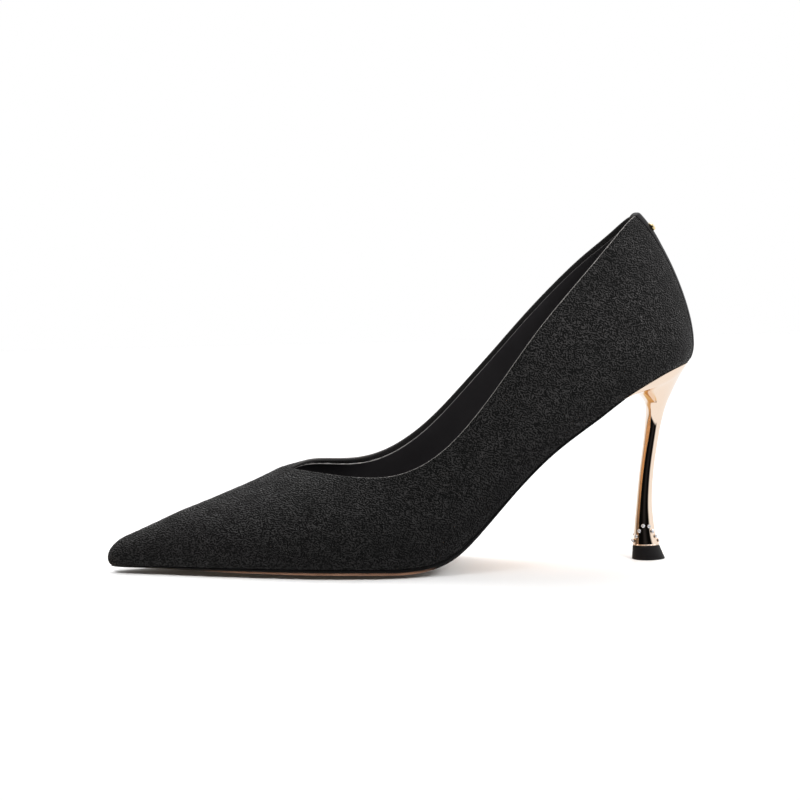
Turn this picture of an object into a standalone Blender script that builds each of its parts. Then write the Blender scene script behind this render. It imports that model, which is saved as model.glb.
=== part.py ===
"""High-heeled court shoe for the left foot: pointed toe, V throat, slim flared metal heel.

Sizes are millimetres in the shoe's own frame. The toe points along -X, the medial side
is +Y, +Z is up, and the floor is z = 0 under the middle of the shoe.
"""

import math
from collections import namedtuple

import bmesh
import bpy
import numpy as np
from mathutils import Vector

MM = 0.001

# Driving sizes
LENGTH = 243.0
BALL_WIDTH = 75.0
HEEL_HEIGHT = 82.0
BACK_HEIGHT = 142.0

# Thickness of each layer, and the space left where two pieces meet
GAP = 0.3
WALL = 1.5
INSOLE = 2.0
RAND = 0.8
OUTSOLE = 1.25
BACK_STRIP = 0.5

# The last's bottom edge, one row for each section from the toe to the back of the heel.
# along is in percent of LENGTH from the toe, the two sides in percent of BALL_WIDTH from
# the shoe's axis, the two rises in percent of HEEL_HEIGHT above the floor. lean is how far
# the wall starts outward from upright, in degrees, and pull how long it keeps that way.
Foot = namedtuple("Foot", "along lateral medial lateral_rise medial_rise lean pull")
FEATHER = [
    Foot(0.55, -4.0, 4.0, 4.0, 4.0, 36, 0.40),
    Foot(1.7, 2.4, 10.1, 4.05, 4.05, 30, 0.40),
    Foot(4.1, 6.9, 14.3, 4.3, 4.3, 20, 0.40),
    Foot(8.8, 13.1, 20.0, 4.5, 4.5, 15, 0.40),
    Foot(15.0, 22.0, 27.1, 4.65, 4.65, 12, 0.40),
    Foot(21.2, 30.4, 33.3, 4.8, 4.8, 10, 0.40),
    Foot(27.4, 37.7, 39.3, 4.9, 4.9, 9, 0.40),
    Foot(32.3, 42.9, 43.6, 4.95, 4.95, 9, 0.40),
    Foot(37.7, 47.2, 47.2, 5.0, 5.0, 9, 0.40),
    Foot(43.8, 49.9, 47.9, 4.9, 4.9, 9, 0.39),
    Foot(50.0, 49.1, 44.7, 4.8, 4.9, 9, 0.38),
    Foot(56.2, 45.3, 38.9, 8.6, 9.2, 9, 0.37),
    Foot(62.3, 40.7, 33.6, 22.8, 24.8, 9, 0.36),
    Foot(68.5, 37.3, 30.7, 41.8, 44.8, 10, 0.35),
    Foot(74.7, 35.3, 30.1, 59.1, 62.0, 11, 0.34),
    Foot(81.7, 34.0, 31.3, 74.1, 75.9, 13, 0.32),
    Foot(87.9, 32.8, 32.3, 86.6, 87.0, 16, 0.29),
    Foot(93.2, 28.7, 28.7, 95.1, 95.1, 20, 0.26),
    Foot(96.9, 19.2, 19.2, 99.0, 99.0, 28, 0.21),
    Foot(99.1, 0.0, 0.0, 100.0, 100.0, 34, 0.185),
]

# The upper's top edge at the same sections: first the ridge of the vamp, where both sides
# meet, then from the point of the V the collar. The rises are in percent of BACK_HEIGHT.
# The two leans are the slope of the wall there, in degrees below level going outward.
Top = namedtuple("Top", "along lateral medial lateral_rise medial_rise lateral_lean medial_lean pull")
TOPLINE = [
    Top(3.5, -4.0, 4.0, 10.7, 10.7, 0, 0, 0.37),
    Top(4.7, -3.9, 3.9, 11.5, 11.5, 0, 0, 0.38),
    Top(7.6, -3.5, 3.5, 13.6, 13.6, 0, 0, 0.39),
    Top(11.7, -2.9, 2.9, 16.75, 16.75, 1, -1, 0.40),
    Top(17.1, -2.2, 2.2, 20.25, 20.25, 3, -3, 0.40),
    Top(22.4, -1.5, 1.5, 23.65, 23.65, 7, -7, 0.40),
    Top(27.4, -0.9, 0.9, 26.95, 26.95, 11, -11, 0.40),
    Top(31.0, -0.5, 0.5, 29.25, 29.25, 15, -15, 0.40),
    Top(35.2, 16.0, 21.3, 28.9, 30.5, 25, 14, 0.40),
    Top(42.2, 32.0, 30.4, 28.1, 29.95, 47, 41, 0.39),
    Top(48.8, 37.3, 33.7, 28.9, 32.55, 62, 60, 0.37),
    Top(54.9, 38.0, 35.2, 33.7, 39.25, 72, 72, 0.36),
    Top(61.1, 36.4, 34.7, 43.6, 49.65, 78, 78, 0.35),
    Top(66.9, 34.5, 33.6, 56.1, 60.4, 80, 80, 0.35),
    Top(72.2, 32.5, 32.4, 68.1, 70.45, 80, 80, 0.36),
    Top(77.6, 29.1, 29.3, 78.7, 80.1, 78, 78, 0.38),
    Top(82.5, 24.0, 24.0, 87.7, 88.2, 73, 73, 0.39),
    Top(86.8, 17.2, 17.2, 95.5, 94.7, 66, 66, 0.37),
    Top(89.5, 9.9, 9.9, 99.6, 99.1, 55, 55, 0.33),
    Top(90.9, 0.0, 0.0, 100.1, 100.1, 47, 47, 0.285),
]
THROAT = 7
SLOPE_FADE_END = 10

# How far the last's bottom sags between its edges, in percent of its width, at percents of LENGTH
CROWN_ALONG = (0, 52, 66, 100)
CROWN_DROP = (2.2, 2.2, 0.0, 0.0)

# Mesh density
RIBS_PER_SECTION = 2
WALL_STEPS = 12
SOLE_STEPS_ACROSS = 8


def solve_spline(knots, values):
    """Second derivatives at the knots of a smooth cubic curve with free ends."""
    steps = np.diff(knots)
    count = len(knots)
    matrix = np.eye(count)
    target = np.zeros((count, values.shape[1]))
    for i in range(1, count - 1):
        matrix[i, i - 1 : i + 2] = steps[i - 1], 2 * (steps[i - 1] + steps[i]), steps[i]
        after = (values[i + 1] - values[i]) / steps[i]
        before = (values[i] - values[i - 1]) / steps[i - 1]
        target[i] = 6 * (after - before)
    return np.linalg.solve(matrix, target)


def spline(knots, values):
    """A function of the knots' parameter that runs smoothly through the rows of values."""
    knots = np.asarray(knots, float)
    values = np.asarray(values, float)
    bends = solve_spline(knots, values)

    def at(parameter):
        parameter = np.asarray(parameter, float)
        i = np.clip(np.searchsorted(knots, parameter) - 1, 0, len(knots) - 2)
        step = (knots[i + 1] - knots[i])[..., None]
        b = (parameter - knots[i])[..., None] / step
        a = 1 - b
        bend = (a**3 - a) * bends[i] + (b**3 - b) * bends[i + 1]
        return a * values[i] + b * values[i + 1] + bend * step**2 / 6

    return at


def section_points(rows, height):
    """Lateral and medial points of each row of FEATHER or TOPLINE."""
    along = np.array([row.along for row in rows]) / 100 * LENGTH - LENGTH / 2
    lateral = np.array([(-row.lateral * BALL_WIDTH, row.lateral_rise * height) for row in rows]) / 100
    medial = np.array([(row.medial * BALL_WIDTH, row.medial_rise * height) for row in rows]) / 100
    return np.column_stack([along, lateral]), np.column_stack([along, medial])


def around(lateral, medial, first=0):
    """Rows from the toe along the lateral side to the back, then along the medial side to the toe."""
    return np.concatenate([lateral[first:], medial[first:-1][::-1]])


FOOT_LATERAL, FOOT_MEDIAL = section_points(FEATHER, HEEL_HEIGHT)
TOP_LATERAL, TOP_MEDIAL = section_points(TOPLINE, BACK_HEIGHT)


def section_knots():
    """Distance of each section from the toe, measured along the last's bottom edge."""
    paces = [np.linalg.norm(np.diff(side, axis=0), axis=1) for side in (FOOT_LATERAL, FOOT_MEDIAL)]
    return np.concatenate([[0], np.cumsum(np.mean(paces, axis=0))])


KNOTS = section_knots()
BACK = KNOTS[-1]
LOOP = 2 * BACK
LOOP_KNOTS = around(KNOTS, LOOP - KNOTS)
COLLAR_KNOTS = around(KNOTS, LOOP - KNOTS, THROAT)


def closed_spline(values):
    """A spline round the whole shoe, carried over the toe on both ends so that it joins smoothly."""
    lap = 6
    knots, values = LOOP_KNOTS[:-1], values[:-1]
    knots = np.concatenate([knots[-lap:] - LOOP, knots, knots[: lap + 1] + LOOP])
    return spline(knots, np.concatenate([values[-lap:], values, values[: lap + 1]]))


FOOT_SHAPE = np.array([(row.lean, row.pull) for row in FEATHER])
TOP_SHAPE_LATERAL = np.array([(row.lateral_lean, row.pull) for row in TOPLINE])
TOP_SHAPE_MEDIAL = np.array([(row.medial_lean, row.pull) for row in TOPLINE])

feather_at = closed_spline(around(FOOT_LATERAL, FOOT_MEDIAL))
foot_shape_at = closed_spline(around(FOOT_SHAPE, FOOT_SHAPE))
top_shape_at = closed_spline(around(TOP_SHAPE_LATERAL, TOP_SHAPE_MEDIAL))
ridge_at = spline(KNOTS[: THROAT + 1], TOP_LATERAL[: THROAT + 1])
collar_at = spline(COLLAR_KNOTS, around(TOP_LATERAL, TOP_MEDIAL, THROAT))


def unit(vectors):
    return vectors / np.linalg.norm(vectors, axis=-1, keepdims=True)


def from_toe(k):
    """Distance from the toe along either side, for a place k on the way round the shoe."""
    k = np.mod(k, LOOP)
    return np.minimum(k, LOOP - k)


def outward_at(k):
    """Level direction out of the last's bottom edge."""
    step = 0.05
    run = feather_at(k + step) - feather_at(k - step)
    return unit(np.stack([run[..., 1], -run[..., 0], 0 * run[..., 0]], axis=-1))


def ridge_slope_at(k):
    """Climb of the vamp's ridge per millimetre, fading out along the collar."""
    near = np.minimum(from_toe(k), KNOTS[THROAT])
    step = 0.05
    run = ridge_at(near) - ridge_at(near - step)
    fade = 1 - (from_toe(k) - KNOTS[THROAT]) / (KNOTS[SLOPE_FADE_END] - KNOTS[THROAT])
    return run[..., 2] / run[..., 0] * np.clip(fade, 0, 1)


def topline_at(k):
    """Ridge of the vamp ahead of the throat, collar behind it."""
    k = np.mod(np.asarray(k, float), LOOP)
    on_ridge = (from_toe(k) <= KNOTS[THROAT])[..., None]
    collar = collar_at(np.clip(k, KNOTS[THROAT], LOOP - KNOTS[THROAT]))
    return np.where(on_ridge, ridge_at(np.minimum(from_toe(k), KNOTS[THROAT])), collar)


def wall_at(k, v):
    """Outer face of the upper: k runs round the shoe from the toe, v from the sole (0) to the top (1)."""
    k, v = np.broadcast_arrays(np.asarray(k, float), np.asarray(v, float))
    foot, top = feather_at(np.mod(k, LOOP)), topline_at(k)
    out = outward_at(np.mod(k, LOOP))
    foot_shape, top_shape = foot_shape_at(np.mod(k, LOOP)), top_shape_at(np.mod(k, LOOP))
    reach = np.linalg.norm(top - foot, axis=-1)
    lean, fall = np.radians(foot_shape[..., 0]), np.radians(top_shape[..., 0])
    rising = out * np.sin(lean)[..., None]
    rising[..., 2] = np.cos(lean)
    falling = out * np.cos(fall)[..., None]
    falling[..., 2] = ridge_slope_at(k) * out[..., 0] * np.cos(fall) - np.sin(fall)
    near_foot = foot + rising * (foot_shape[..., 1] * reach)[..., None]
    near_top = top + unit(falling) * (top_shape[..., 1] * reach)[..., None]
    v = v[..., None]
    w = 1 - v
    return w**3 * foot + 3 * w**2 * v * near_foot + 3 * w * v**2 * near_top + v**3 * top


def ridge_normal_at(k):
    """Outward direction on the vamp's ridge, the same from both sides."""
    near = from_toe(k)
    step = 0.05
    run = ridge_at(near + step) - ridge_at(near - step)
    tilt = np.radians(top_shape_at(near)[..., 0])
    across = np.stack([0 * tilt, np.cos(tilt), np.sin(tilt)], axis=-1)
    return unit(np.cross(run, across))


def wall_normal_at(k, v):
    """Outward direction of the upper's face: level along the sole, so that its lower rim lies flat."""
    k, v = np.broadcast_arrays(np.asarray(k, float), np.asarray(v, float))
    step_k, step_v = 0.05, 0.002
    low, high = np.maximum(v - step_v, 0), np.minimum(v + step_v, 1)
    normal = unit(np.cross(wall_at(k + step_k, v) - wall_at(k - step_k, v), wall_at(k, high) - wall_at(k, low)))
    normal[v == 0, 2] = 0
    seam = (v == 1) & (from_toe(k) <= KNOTS[THROAT])
    normal[seam] = ridge_normal_at(k[seam])
    return unit(normal)


def skin_at(k, v, out=0.0):
    """The upper's face moved outward by out millimetres."""
    return wall_at(k, v) + np.asarray(out)[..., None] * wall_normal_at(k, v)


SIDE = np.linspace(0, BACK, 1500)
EDGE_LATERAL, EDGE_MEDIAL = feather_at(SIDE), feather_at(LOOP - SIDE)


def bottom_height(x, y):
    """Height of the last's bottom: straight between its two edges, sagging by the crown."""
    columns = (EDGE_LATERAL[:, 1], EDGE_MEDIAL[:, 1], EDGE_LATERAL[:, 2], EDGE_MEDIAL[:, 2])
    near_y, far_y, near_z, far_z = (np.interp(x, EDGE_LATERAL[:, 0], column) for column in columns)
    width = np.maximum(far_y - near_y, 0.001)
    q = np.clip((y - near_y) / width, 0, 1)
    crown = np.interp((x / LENGTH + 0.5) * 100, CROWN_ALONG, CROWN_DROP) / 100 * width
    return near_z + (far_z - near_z) * q - crown * (1 - (2 * q - 1) ** 2)


def bottom_at(k, q, inset, depth):
    """The last's bottom: k from the toe, q from the lateral (0) to the medial edge (1).

    inset draws its outline in, and depth is the distance below the last, square to its slope.
    """
    k, q, inset, depth = np.broadcast_arrays(*(np.asarray(a, float) for a in (k, q, inset, depth)))
    other = LOOP - k
    lateral = feather_at(k) - outward_at(k) * inset[..., None]
    medial = feather_at(other) - outward_at(other) * inset[..., None]
    point = lateral + (medial - lateral) * q[..., None]
    point[..., 2] = bottom_height(point[..., 0], point[..., 1])
    middle = (lateral + medial) / 2
    step = 1.0
    ahead = np.clip(middle[..., 0] - step, EDGE_LATERAL[0, 0], None)
    behind = np.clip(middle[..., 0] + step, None, EDGE_LATERAL[-1, 0])
    climb = bottom_height(behind, middle[..., 1]) - bottom_height(ahead, middle[..., 1])
    down = unit(np.stack([climb, 0 * climb, ahead - behind], axis=-1))
    return point + down * depth[..., None]


def rib_places(last=BACK):
    """Places along one side, from the toe, at which the meshes have a rib."""
    places = []
    for start, end in zip(KNOTS[:-1], KNOTS[1:]):
        places += list(np.linspace(start, end, RIBS_PER_SECTION, endpoint=False))
    places = np.array(places + [BACK])
    return np.append(places[places < last - 1], last)


def new_object(name, mesh, material):
    shape = bpy.data.objects.new(name, mesh)
    PARTS.objects.link(shape)
    shape.data.materials.append(material)
    shape.data.shade_smooth()
    shape.data.set_sharp_from_angle(angle=math.radians(40))
    return shape


def add_grid(bm, points, closed=False):
    """Quads over a grid of points. closed joins its last row to its first."""
    rows = [[bm.verts.new(Vector(p) * MM) for p in row] for row in points]
    pairs = zip(rows, rows[1:] + rows[:1]) if closed else zip(rows, rows[1:])
    for here, there in pairs:
        for i in range(len(here) - 1):
            bm.faces.new((here[i], there[i], there[i + 1], here[i + 1]))
    return rows


def finish_mesh(bm, name):
    """Welds shared points, turns the faces outward and stores the mesh."""
    bmesh.ops.remove_doubles(bm, verts=bm.verts, dist=0.002 * MM)
    bmesh.ops.recalc_face_normals(bm, faces=bm.faces)
    mesh = bpy.data.meshes.new(name)
    bm.to_mesh(mesh)
    bm.free()
    return mesh


def slab(name, material, upper_face, lower_face):
    """A solid between two grids of points that match."""
    bm = bmesh.new()
    upper_face, lower_face = np.asarray(upper_face), np.asarray(lower_face)
    add_grid(bm, upper_face)
    add_grid(bm, lower_face)
    for edge in (np.s_[0, :], np.s_[-1, :], np.s_[:, 0], np.s_[:, -1]):
        add_grid(bm, np.stack([upper_face[edge], lower_face[edge]]))
    return new_object(name, finish_mesh(bm, name), material)


def finish(name, color, roughness, metallic=0.0):
    """A plain material of that colour."""
    material = bpy.data.materials.new(name)
    material.use_nodes = True
    shader = material.node_tree.nodes["Principled BSDF"]
    shader.inputs["Base Color"].default_value = (*color, 1)
    shader.inputs["Roughness"].default_value = roughness
    shader.inputs["Metallic"].default_value = metallic
    return material


def clear_scene():
    for old in list(bpy.data.objects):
        bpy.data.objects.remove(old)
    parts = bpy.data.collections.new("court_shoe")
    bpy.context.scene.collection.children.link(parts)
    return parts


PARTS = clear_scene()
LEATHER = finish("crinkled_black_leather", (0.012, 0.012, 0.012), 0.55)
SMOOTH_LEATHER = finish("smooth_black_leather", (0.015, 0.015, 0.016), 0.4)
LINING = finish("black_lining", (0.01, 0.009, 0.01), 0.5)
EDGE_INK = finish("black_sole_edge", (0.008, 0.008, 0.009), 0.3)
SOLE_LEATHER = finish("tan_sole", (0.29, 0.13, 0.075), 0.45)
GOLD = finish("polished_gold", (0.9, 0.66, 0.42), 0.08, 1.0)
RUBBER = finish("black_rubber", (0.015, 0.015, 0.015), 0.7)
CRYSTAL = finish("clear_crystal", (0.85, 0.85, 0.88), 0.05)


# Upper: one wall from the sole to the topline, both sides meeting on the ridge of the vamp.
def make_upper():
    side = rib_places()
    places = np.concatenate([side, LOOP - side[1:-1][::-1]])
    heights = np.linspace(0, 1, WALL_STEPS + 1)
    k, v = np.meshgrid(places, heights, indexing="ij")
    outer, inner = skin_at(k, v), skin_at(k, v, -WALL)
    bm = bmesh.new()
    add_grid(bm, outer, closed=True)
    add_grid(bm, inner, closed=True)
    add_grid(bm, np.stack([outer[:, 0], inner[:, 0]], axis=1), closed=True)
    collar = from_toe(places) >= KNOTS[THROAT] - 0.01
    add_grid(bm, np.stack([outer[collar, -1], inner[collar, -1]], axis=1))
    return new_object("upper", finish_mesh(bm, "upper"), LEATHER)


# Insole: fills the last's bottom between the walls.
def make_insole():
    k, q = np.meshgrid(rib_places(), np.linspace(0, 1, SOLE_STEPS_ACROSS + 1), indexing="ij")
    inset = WALL + GAP
    return slab("insole", LINING, bottom_at(k, q, inset, -INSOLE), bottom_at(k, q, inset, 0))


# Sole: a black rand under the upper and a tan outsole, both ending at the heel's breast.
BREAST_X = 89.3
RAND_INSET = 0.1
# Outsole's inset from the upper's edge and its share of full thickness, at percents of LENGTH
OUTSOLE_ALONG = (0, 8, 22, 34, 50, 58, 70, 82, 86.5)
OUTSOLE_INSET = (3.0, 2.0, 0.9, 0.6, 0.6, 1.5, 4.5, 4.5, 4.5)
OUTSOLE_SHARE = (0.35, 0.4, 0.75, 0.85, 0.85, 0.65, 0.4, 0.35, 0.3)
# The rand thins along the waist, to a feather where it meets the heel
RAND_ALONG = (0, 8, 20, 52, 60, 82, 86.5, 100)
RAND_SHARE = (0.5, 0.7, 1.0, 1.0, 0.65, 0.6, 0.6, 0.6)


def breast_place():
    """Place along the side where the heel's breast crosses it."""
    side = np.linspace(KNOTS[THROAT], BACK, 2000)
    return float(np.interp(BREAST_X, feather_at(side)[:, 0], side))


BREAST = breast_place()


def percent_along(k):
    return (feather_at(k)[..., 0] / LENGTH + 0.5) * 100


def make_rand():
    k, q = np.meshgrid(rib_places(BREAST), np.linspace(0, 1, SOLE_STEPS_ACROSS + 1), indexing="ij")
    depth = GAP + RAND * np.interp(percent_along(k), RAND_ALONG, RAND_SHARE)
    return slab("rand", EDGE_INK, bottom_at(k, q, RAND_INSET, GAP), bottom_at(k, q, RAND_INSET, depth))


def make_outsole():
    k, q = np.meshgrid(rib_places(BREAST), np.linspace(0, 1, 2 * SOLE_STEPS_ACROSS + 1), indexing="ij")
    along = percent_along(k)
    inset = np.interp(along, OUTSOLE_ALONG, OUTSOLE_INSET)
    top = 2 * GAP + RAND * np.interp(along, RAND_ALONG, RAND_SHARE)
    depth = top + OUTSOLE * np.interp(along, OUTSOLE_ALONG, OUTSOLE_SHARE)
    tread = bottom_at(k, q, inset, depth)
    tread[..., 2] = np.maximum(tread[..., 2], 0)
    return slab("outsole", SOLE_LEATHER, bottom_at(k, q, inset, top), tread)


# Heel: one row for each level from the seat down to the tip, in millimetres. The level's
# plane runs from its front to its back point. seat is how much of the seat's own outline
# is left in the section, the rest being an ellipse. hollow is how far the breast is scooped,
# as a share of the section's length, and lift how high the two wings arch over its front.
Level = namedtuple("Level", "front_x front_z back_x back_z half_width seat hollow lift")
SEAT_INSET = 0.3
SEAT_START = 0.4
HEEL_LEVELS = [
    Level(91.6, 69.3, 117.9, 80.2, 23.0, 1.0, 0.02, 0.6),
    Level(93.9, 69.2, 116.2, 77.3, 20.3, 0.95, 0.05, 1.25),
    Level(96.3, 68.3, 114.2, 73.6, 16.4, 0.8, 0.08, 1.9),
    Level(99.0, 66.5, 112.2, 69.4, 12.2, 0.6, 0.08, 1.95),
    Level(100.9, 64.5, 110.4, 65.4, 8.6, 0.35, 0.05, 1.2),
    Level(101.4, 60.6, 108.9, 60.8, 5.8, 0.15, 0.02, 0.4),
    Level(101.1, 55.5, 107.6, 55.5, 4.3, 0.0, 0.0, 0.0),
    Level(100.15, 47.5, 106.1, 47.5, 3.5, 0.0, 0.0, 0.0),
    Level(98.9, 38.5, 104.7, 38.5, 3.2, 0.0, 0.0, 0.0),
    Level(97.85, 29.5, 103.9, 29.5, 3.2, 0.0, 0.0, 0.0),
    Level(97.05, 21.5, 103.8, 21.5, 3.4, 0.0, 0.0, 0.0),
    Level(96.4, 15.0, 104.4, 15.0, 3.8, 0.0, 0.0, 0.0),
    Level(96.0, 10.0, 105.2, 10.0, 4.4, 0.0, 0.0, 0.0),
    Level(95.5, 5.9, 106.6, 5.9, 5.1, 0.0, 0.0, 0.0),
]
BACK_STEPS = 26
BREAST_STEPS = 10
BREAST_CORNER = math.radians(125)


def seat_outline():
    """Outline of the heel seat, from the lateral breast corner round the back and along the breast."""
    side = np.linspace(BREAST + SEAT_START, BACK, BACK_STEPS // 2 + 1)
    places = np.concatenate([side, LOOP - side[:-1][::-1]])
    arc = bottom_at(side, 0, SEAT_INSET, GAP), bottom_at(side[:-1], 1, SEAT_INSET, GAP)[::-1]
    arc = np.concatenate(arc)
    front = np.linspace(arc[-1], arc[0], BREAST_STEPS + 1)[1:-1]
    return np.concatenate([arc, front]), len(places)


def heel_loops():
    """Closed loops of points from the seat to the tip."""
    seat, arc_count = seat_outline()
    front_x, back_x = seat[:, 0].min(), seat[:, 0].max()
    seat_x = (seat[:, 0] - front_x) / (back_x - front_x)
    seat_y = seat[:, 1] / np.abs(seat[:, 1]).max()
    arc = np.linspace(-BREAST_CORNER, BREAST_CORNER, arc_count)
    breast = np.linspace(BREAST_CORNER, 2 * math.pi - BREAST_CORNER, BREAST_STEPS + 1)[1:-1]
    angle = np.concatenate([arc, breast])
    round_x, round_y = 0.5 + 0.5 * np.cos(angle), np.sin(angle)
    front = np.clip(1 - seat_x / 0.6, 0, 1)
    scoop, wing = front * np.clip(1 - seat_y**2, 0, 1), front * seat_y**2
    loops = [seat]
    for level in HEEL_LEVELS:
        share = level.seat * seat_x + (1 - level.seat) * round_x + level.hollow * scoop
        across = level.seat * seat_y + (1 - level.seat) * round_y
        x = level.front_x + (level.back_x - level.front_x) * share
        z = level.front_z + (level.back_z - level.front_z) * share + level.lift * wing
        loops.append(np.column_stack([x, level.half_width * across, z]))
    return loops, arc_count


def make_heel():
    loops, arc_count = heel_loops()
    bm = bmesh.new()
    rings = [[bm.verts.new(Vector(p) * MM) for p in loop] for loop in loops]
    count = len(rings[0])
    for here, below in zip(rings, rings[1:]):
        for i in range(count):
            j = (i + 1) % count
            bm.faces.new((here[i], here[j], below[j], below[i]))
    seat = rings[0]
    for i in range(arc_count // 2):
        j = arc_count - 1 - i
        corners = (seat[i], seat[i + 1], seat[j - 1], seat[j])
        if i == 0:
            corners += tuple(seat[arc_count:])
        bm.faces.new(dict.fromkeys(corners))
    bm.faces.new(rings[-1])
    return new_object("heel", finish_mesh(bm, "heel"), GOLD)


# Top piece: the rubber tip under the heel, flared towards the floor.
def make_top_piece():
    foot = HEEL_LEVELS[-1]
    top_z = foot.front_z - GAP
    back_flare, side_flare, front_flare = 2.4, 0.9, 0.3
    bm = bmesh.new()
    angles = np.linspace(0, 2 * math.pi, 32, endpoint=False)
    rings = []
    for z, flare in ((top_z, 0.0), (0.0, 1.0)):
        front, back = foot.front_x - front_flare * flare, foot.back_x + back_flare * flare
        x = (front + back) / 2 + (back - front) / 2 * np.cos(angles)
        y = (foot.half_width + side_flare * flare) * np.sin(angles)
        rings.append([bm.verts.new(Vector((a, b, z)) * MM) for a, b in zip(x, y)])
    for i in range(len(angles)):
        j = (i + 1) % len(angles)
        bm.faces.new((rings[0][i], rings[0][j], rings[1][j], rings[1][i]))
    for ring in rings:
        bm.faces.new(ring)
    return new_object("top_piece", finish_mesh(bm, "top_piece"), RUBBER)


# Crystals: a row of round stones that rises over both sides of the heel's flare.
CRYSTAL_COUNT = 16
CRYSTAL_RADIUS = 0.8
CRYSTAL_TABLE = 0.45
CRYSTAL_HEIGHT = 0.8
CRYSTAL_LOW, CRYSTAL_HIGH = 7.2, 14.6


def stem_at(angle, z):
    """A point on the heel's stem, angle measured from the back."""
    heights = np.array([level.front_z for level in HEEL_LEVELS])[::-1]
    columns = [np.array([getattr(level, name) for level in HEEL_LEVELS])[::-1]
               for name in ("front_x", "back_x", "half_width")]
    front, back, half = (np.interp(z, heights, column) for column in columns)
    return np.array([(front + back) / 2 + (back - front) / 2 * math.cos(angle), half * math.sin(angle), z])


def crystal_ring():
    """Evenly spaced points along the wavy row, and the direction out of the heel at each."""
    def place(angle):
        share = math.sin(angle) ** 2
        return stem_at(angle, CRYSTAL_LOW + (CRYSTAL_HIGH - CRYSTAL_LOW) * share)

    turns = np.linspace(0, 2 * math.pi, 721)
    line = np.array([place(a) for a in turns])
    run = np.concatenate([[0], np.cumsum(np.linalg.norm(np.diff(line, axis=0), axis=1))])
    for n in range(CRYSTAL_COUNT):
        angle = float(np.interp((n + 0.5) / CRYSTAL_COUNT * run[-1], run, turns))
        point = place(angle)
        round_way = stem_at(angle + 0.01, point[2]) - stem_at(angle - 0.01, point[2])
        upward = stem_at(angle, point[2] + 0.1) - stem_at(angle, point[2] - 0.1)
        yield point, unit(np.cross(round_way, upward))


def make_crystals():
    for n, (point, out) in enumerate(crystal_ring(), 1):
        centre = point + out * (GAP + CRYSTAL_HEIGHT / 2)
        turn = Vector(out).to_track_quat("Z", "Y")
        bm = bmesh.new()
        bmesh.ops.create_cone(bm, cap_ends=True, segments=8, radius1=CRYSTAL_RADIUS * MM,
                              radius2=CRYSTAL_TABLE * MM, depth=CRYSTAL_HEIGHT * MM)
        name = f"crystal_{n:02d}"
        stone = new_object(name, finish_mesh(bm, name), CRYSTAL)
        stone.location = Vector(centre) * MM
        stone.rotation_mode = "QUATERNION"
        stone.rotation_quaternion = turn


# Back strip: a smooth leather band up the back seam, folded over the collar. Near the top it
# is doubled, so that it is thicker under the badge.
STRIP_DOUBLED = 0.3
STRIP_DOUBLED_FROM, STRIP_DOUBLED_TO = 0.76, 0.87
STRIP_HALF_FOOT = 4.5
STRIP_HALF_TOP = 5.8
STRIP_FOOT = 0.03
STRIP_TUCK = 0.86
STRIP_COLUMNS = 9
STRIP_STEPS = 12
FOLD_STEPS = 5


def strip_spread(v):
    """Half width of the strip at height v, as a distance along the way round the shoe."""
    half = STRIP_HALF_FOOT + (STRIP_HALF_TOP - STRIP_HALF_FOOT) * v
    step = 2.0
    run = np.linalg.norm(wall_at(BACK + step, v) - wall_at(BACK - step, v), axis=-1) / (2 * step)
    return half / run


def strip_out(v, layer):
    """Distance from the wall, at height v, of the strip's inner face (layer 0) or outer face (layer 1)."""
    doubled = np.interp(v, (STRIP_DOUBLED_FROM, STRIP_DOUBLED_TO), (0, STRIP_DOUBLED))
    return GAP + layer * (BACK_STRIP + doubled)


def strip_path(side, layer):
    """One line of a face of the strip, from the sole over the collar to the tuck inside."""
    rise = np.linspace(STRIP_FOOT, 1, STRIP_STEPS + 1)
    outside = skin_at(BACK + side * strip_spread(rise), rise, strip_out(rise, layer))
    k_top = BACK + side * strip_spread(1.0)
    rim = wall_at(k_top, 1.0)
    normal = wall_normal_at(k_top, 1.0)
    upward = unit(wall_at(k_top, 1.0) - wall_at(k_top, 0.99))
    before, behind = strip_out(1.0, layer), WALL + GAP + layer * BACK_STRIP
    middle = rim + normal * (before - behind) / 2
    bend = np.linspace(0, math.pi, FOLD_STEPS + 2)[1:-1, None]
    over = middle + (before + behind) / 2 * (np.cos(bend) * normal + np.sin(bend) * upward)
    sink = np.linspace(1, STRIP_TUCK, 4)
    inside = skin_at(BACK + side * strip_spread(sink), sink, -behind)
    return np.concatenate([outside, over, inside])


def make_back_strip():
    sides = np.linspace(-1, 1, STRIP_COLUMNS)
    faces = [np.array([strip_path(side, layer) for side in sides]) for layer in (0, 1)]
    return slab("back_strip", SMOOTH_LEATHER, faces[1], faces[0])


# Badge: a plain rounded metal bar on the strip, just under the collar.
BADGE_HALF_WIDTH = 4.0
BADGE_HALF_HEIGHT = 1.6
BADGE_THICKNESS = 1.3
BADGE_V = 0.885


def make_badge():
    v_per_mm = 0.01 / np.linalg.norm(wall_at(BACK, BADGE_V + 0.005) - wall_at(BACK, BADGE_V - 0.005))
    k_per_mm = strip_spread(BADGE_V) / (STRIP_HALF_FOOT + (STRIP_HALF_TOP - STRIP_HALF_FOOT) * BADGE_V)
    across = np.linspace(-1, 1, 13)
    end = BADGE_HALF_WIDTH - BADGE_HALF_HEIGHT
    reach = np.clip((np.abs(across) * BADGE_HALF_WIDTH - end) / BADGE_HALF_HEIGHT, 0, 0.995)
    half = BADGE_HALF_HEIGHT * np.sqrt(1 - reach**2)
    up = np.linspace(-1, 1, 7)
    k = BACK + (across * BADGE_HALF_WIDTH * k_per_mm)[:, None] + 0 * up
    v = BADGE_V + half[:, None] * up * v_per_mm
    seat = strip_out(v, 1) + GAP
    return slab("badge", GOLD, skin_at(k, v, seat + BADGE_THICKNESS), skin_at(k, v, seat))


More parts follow.
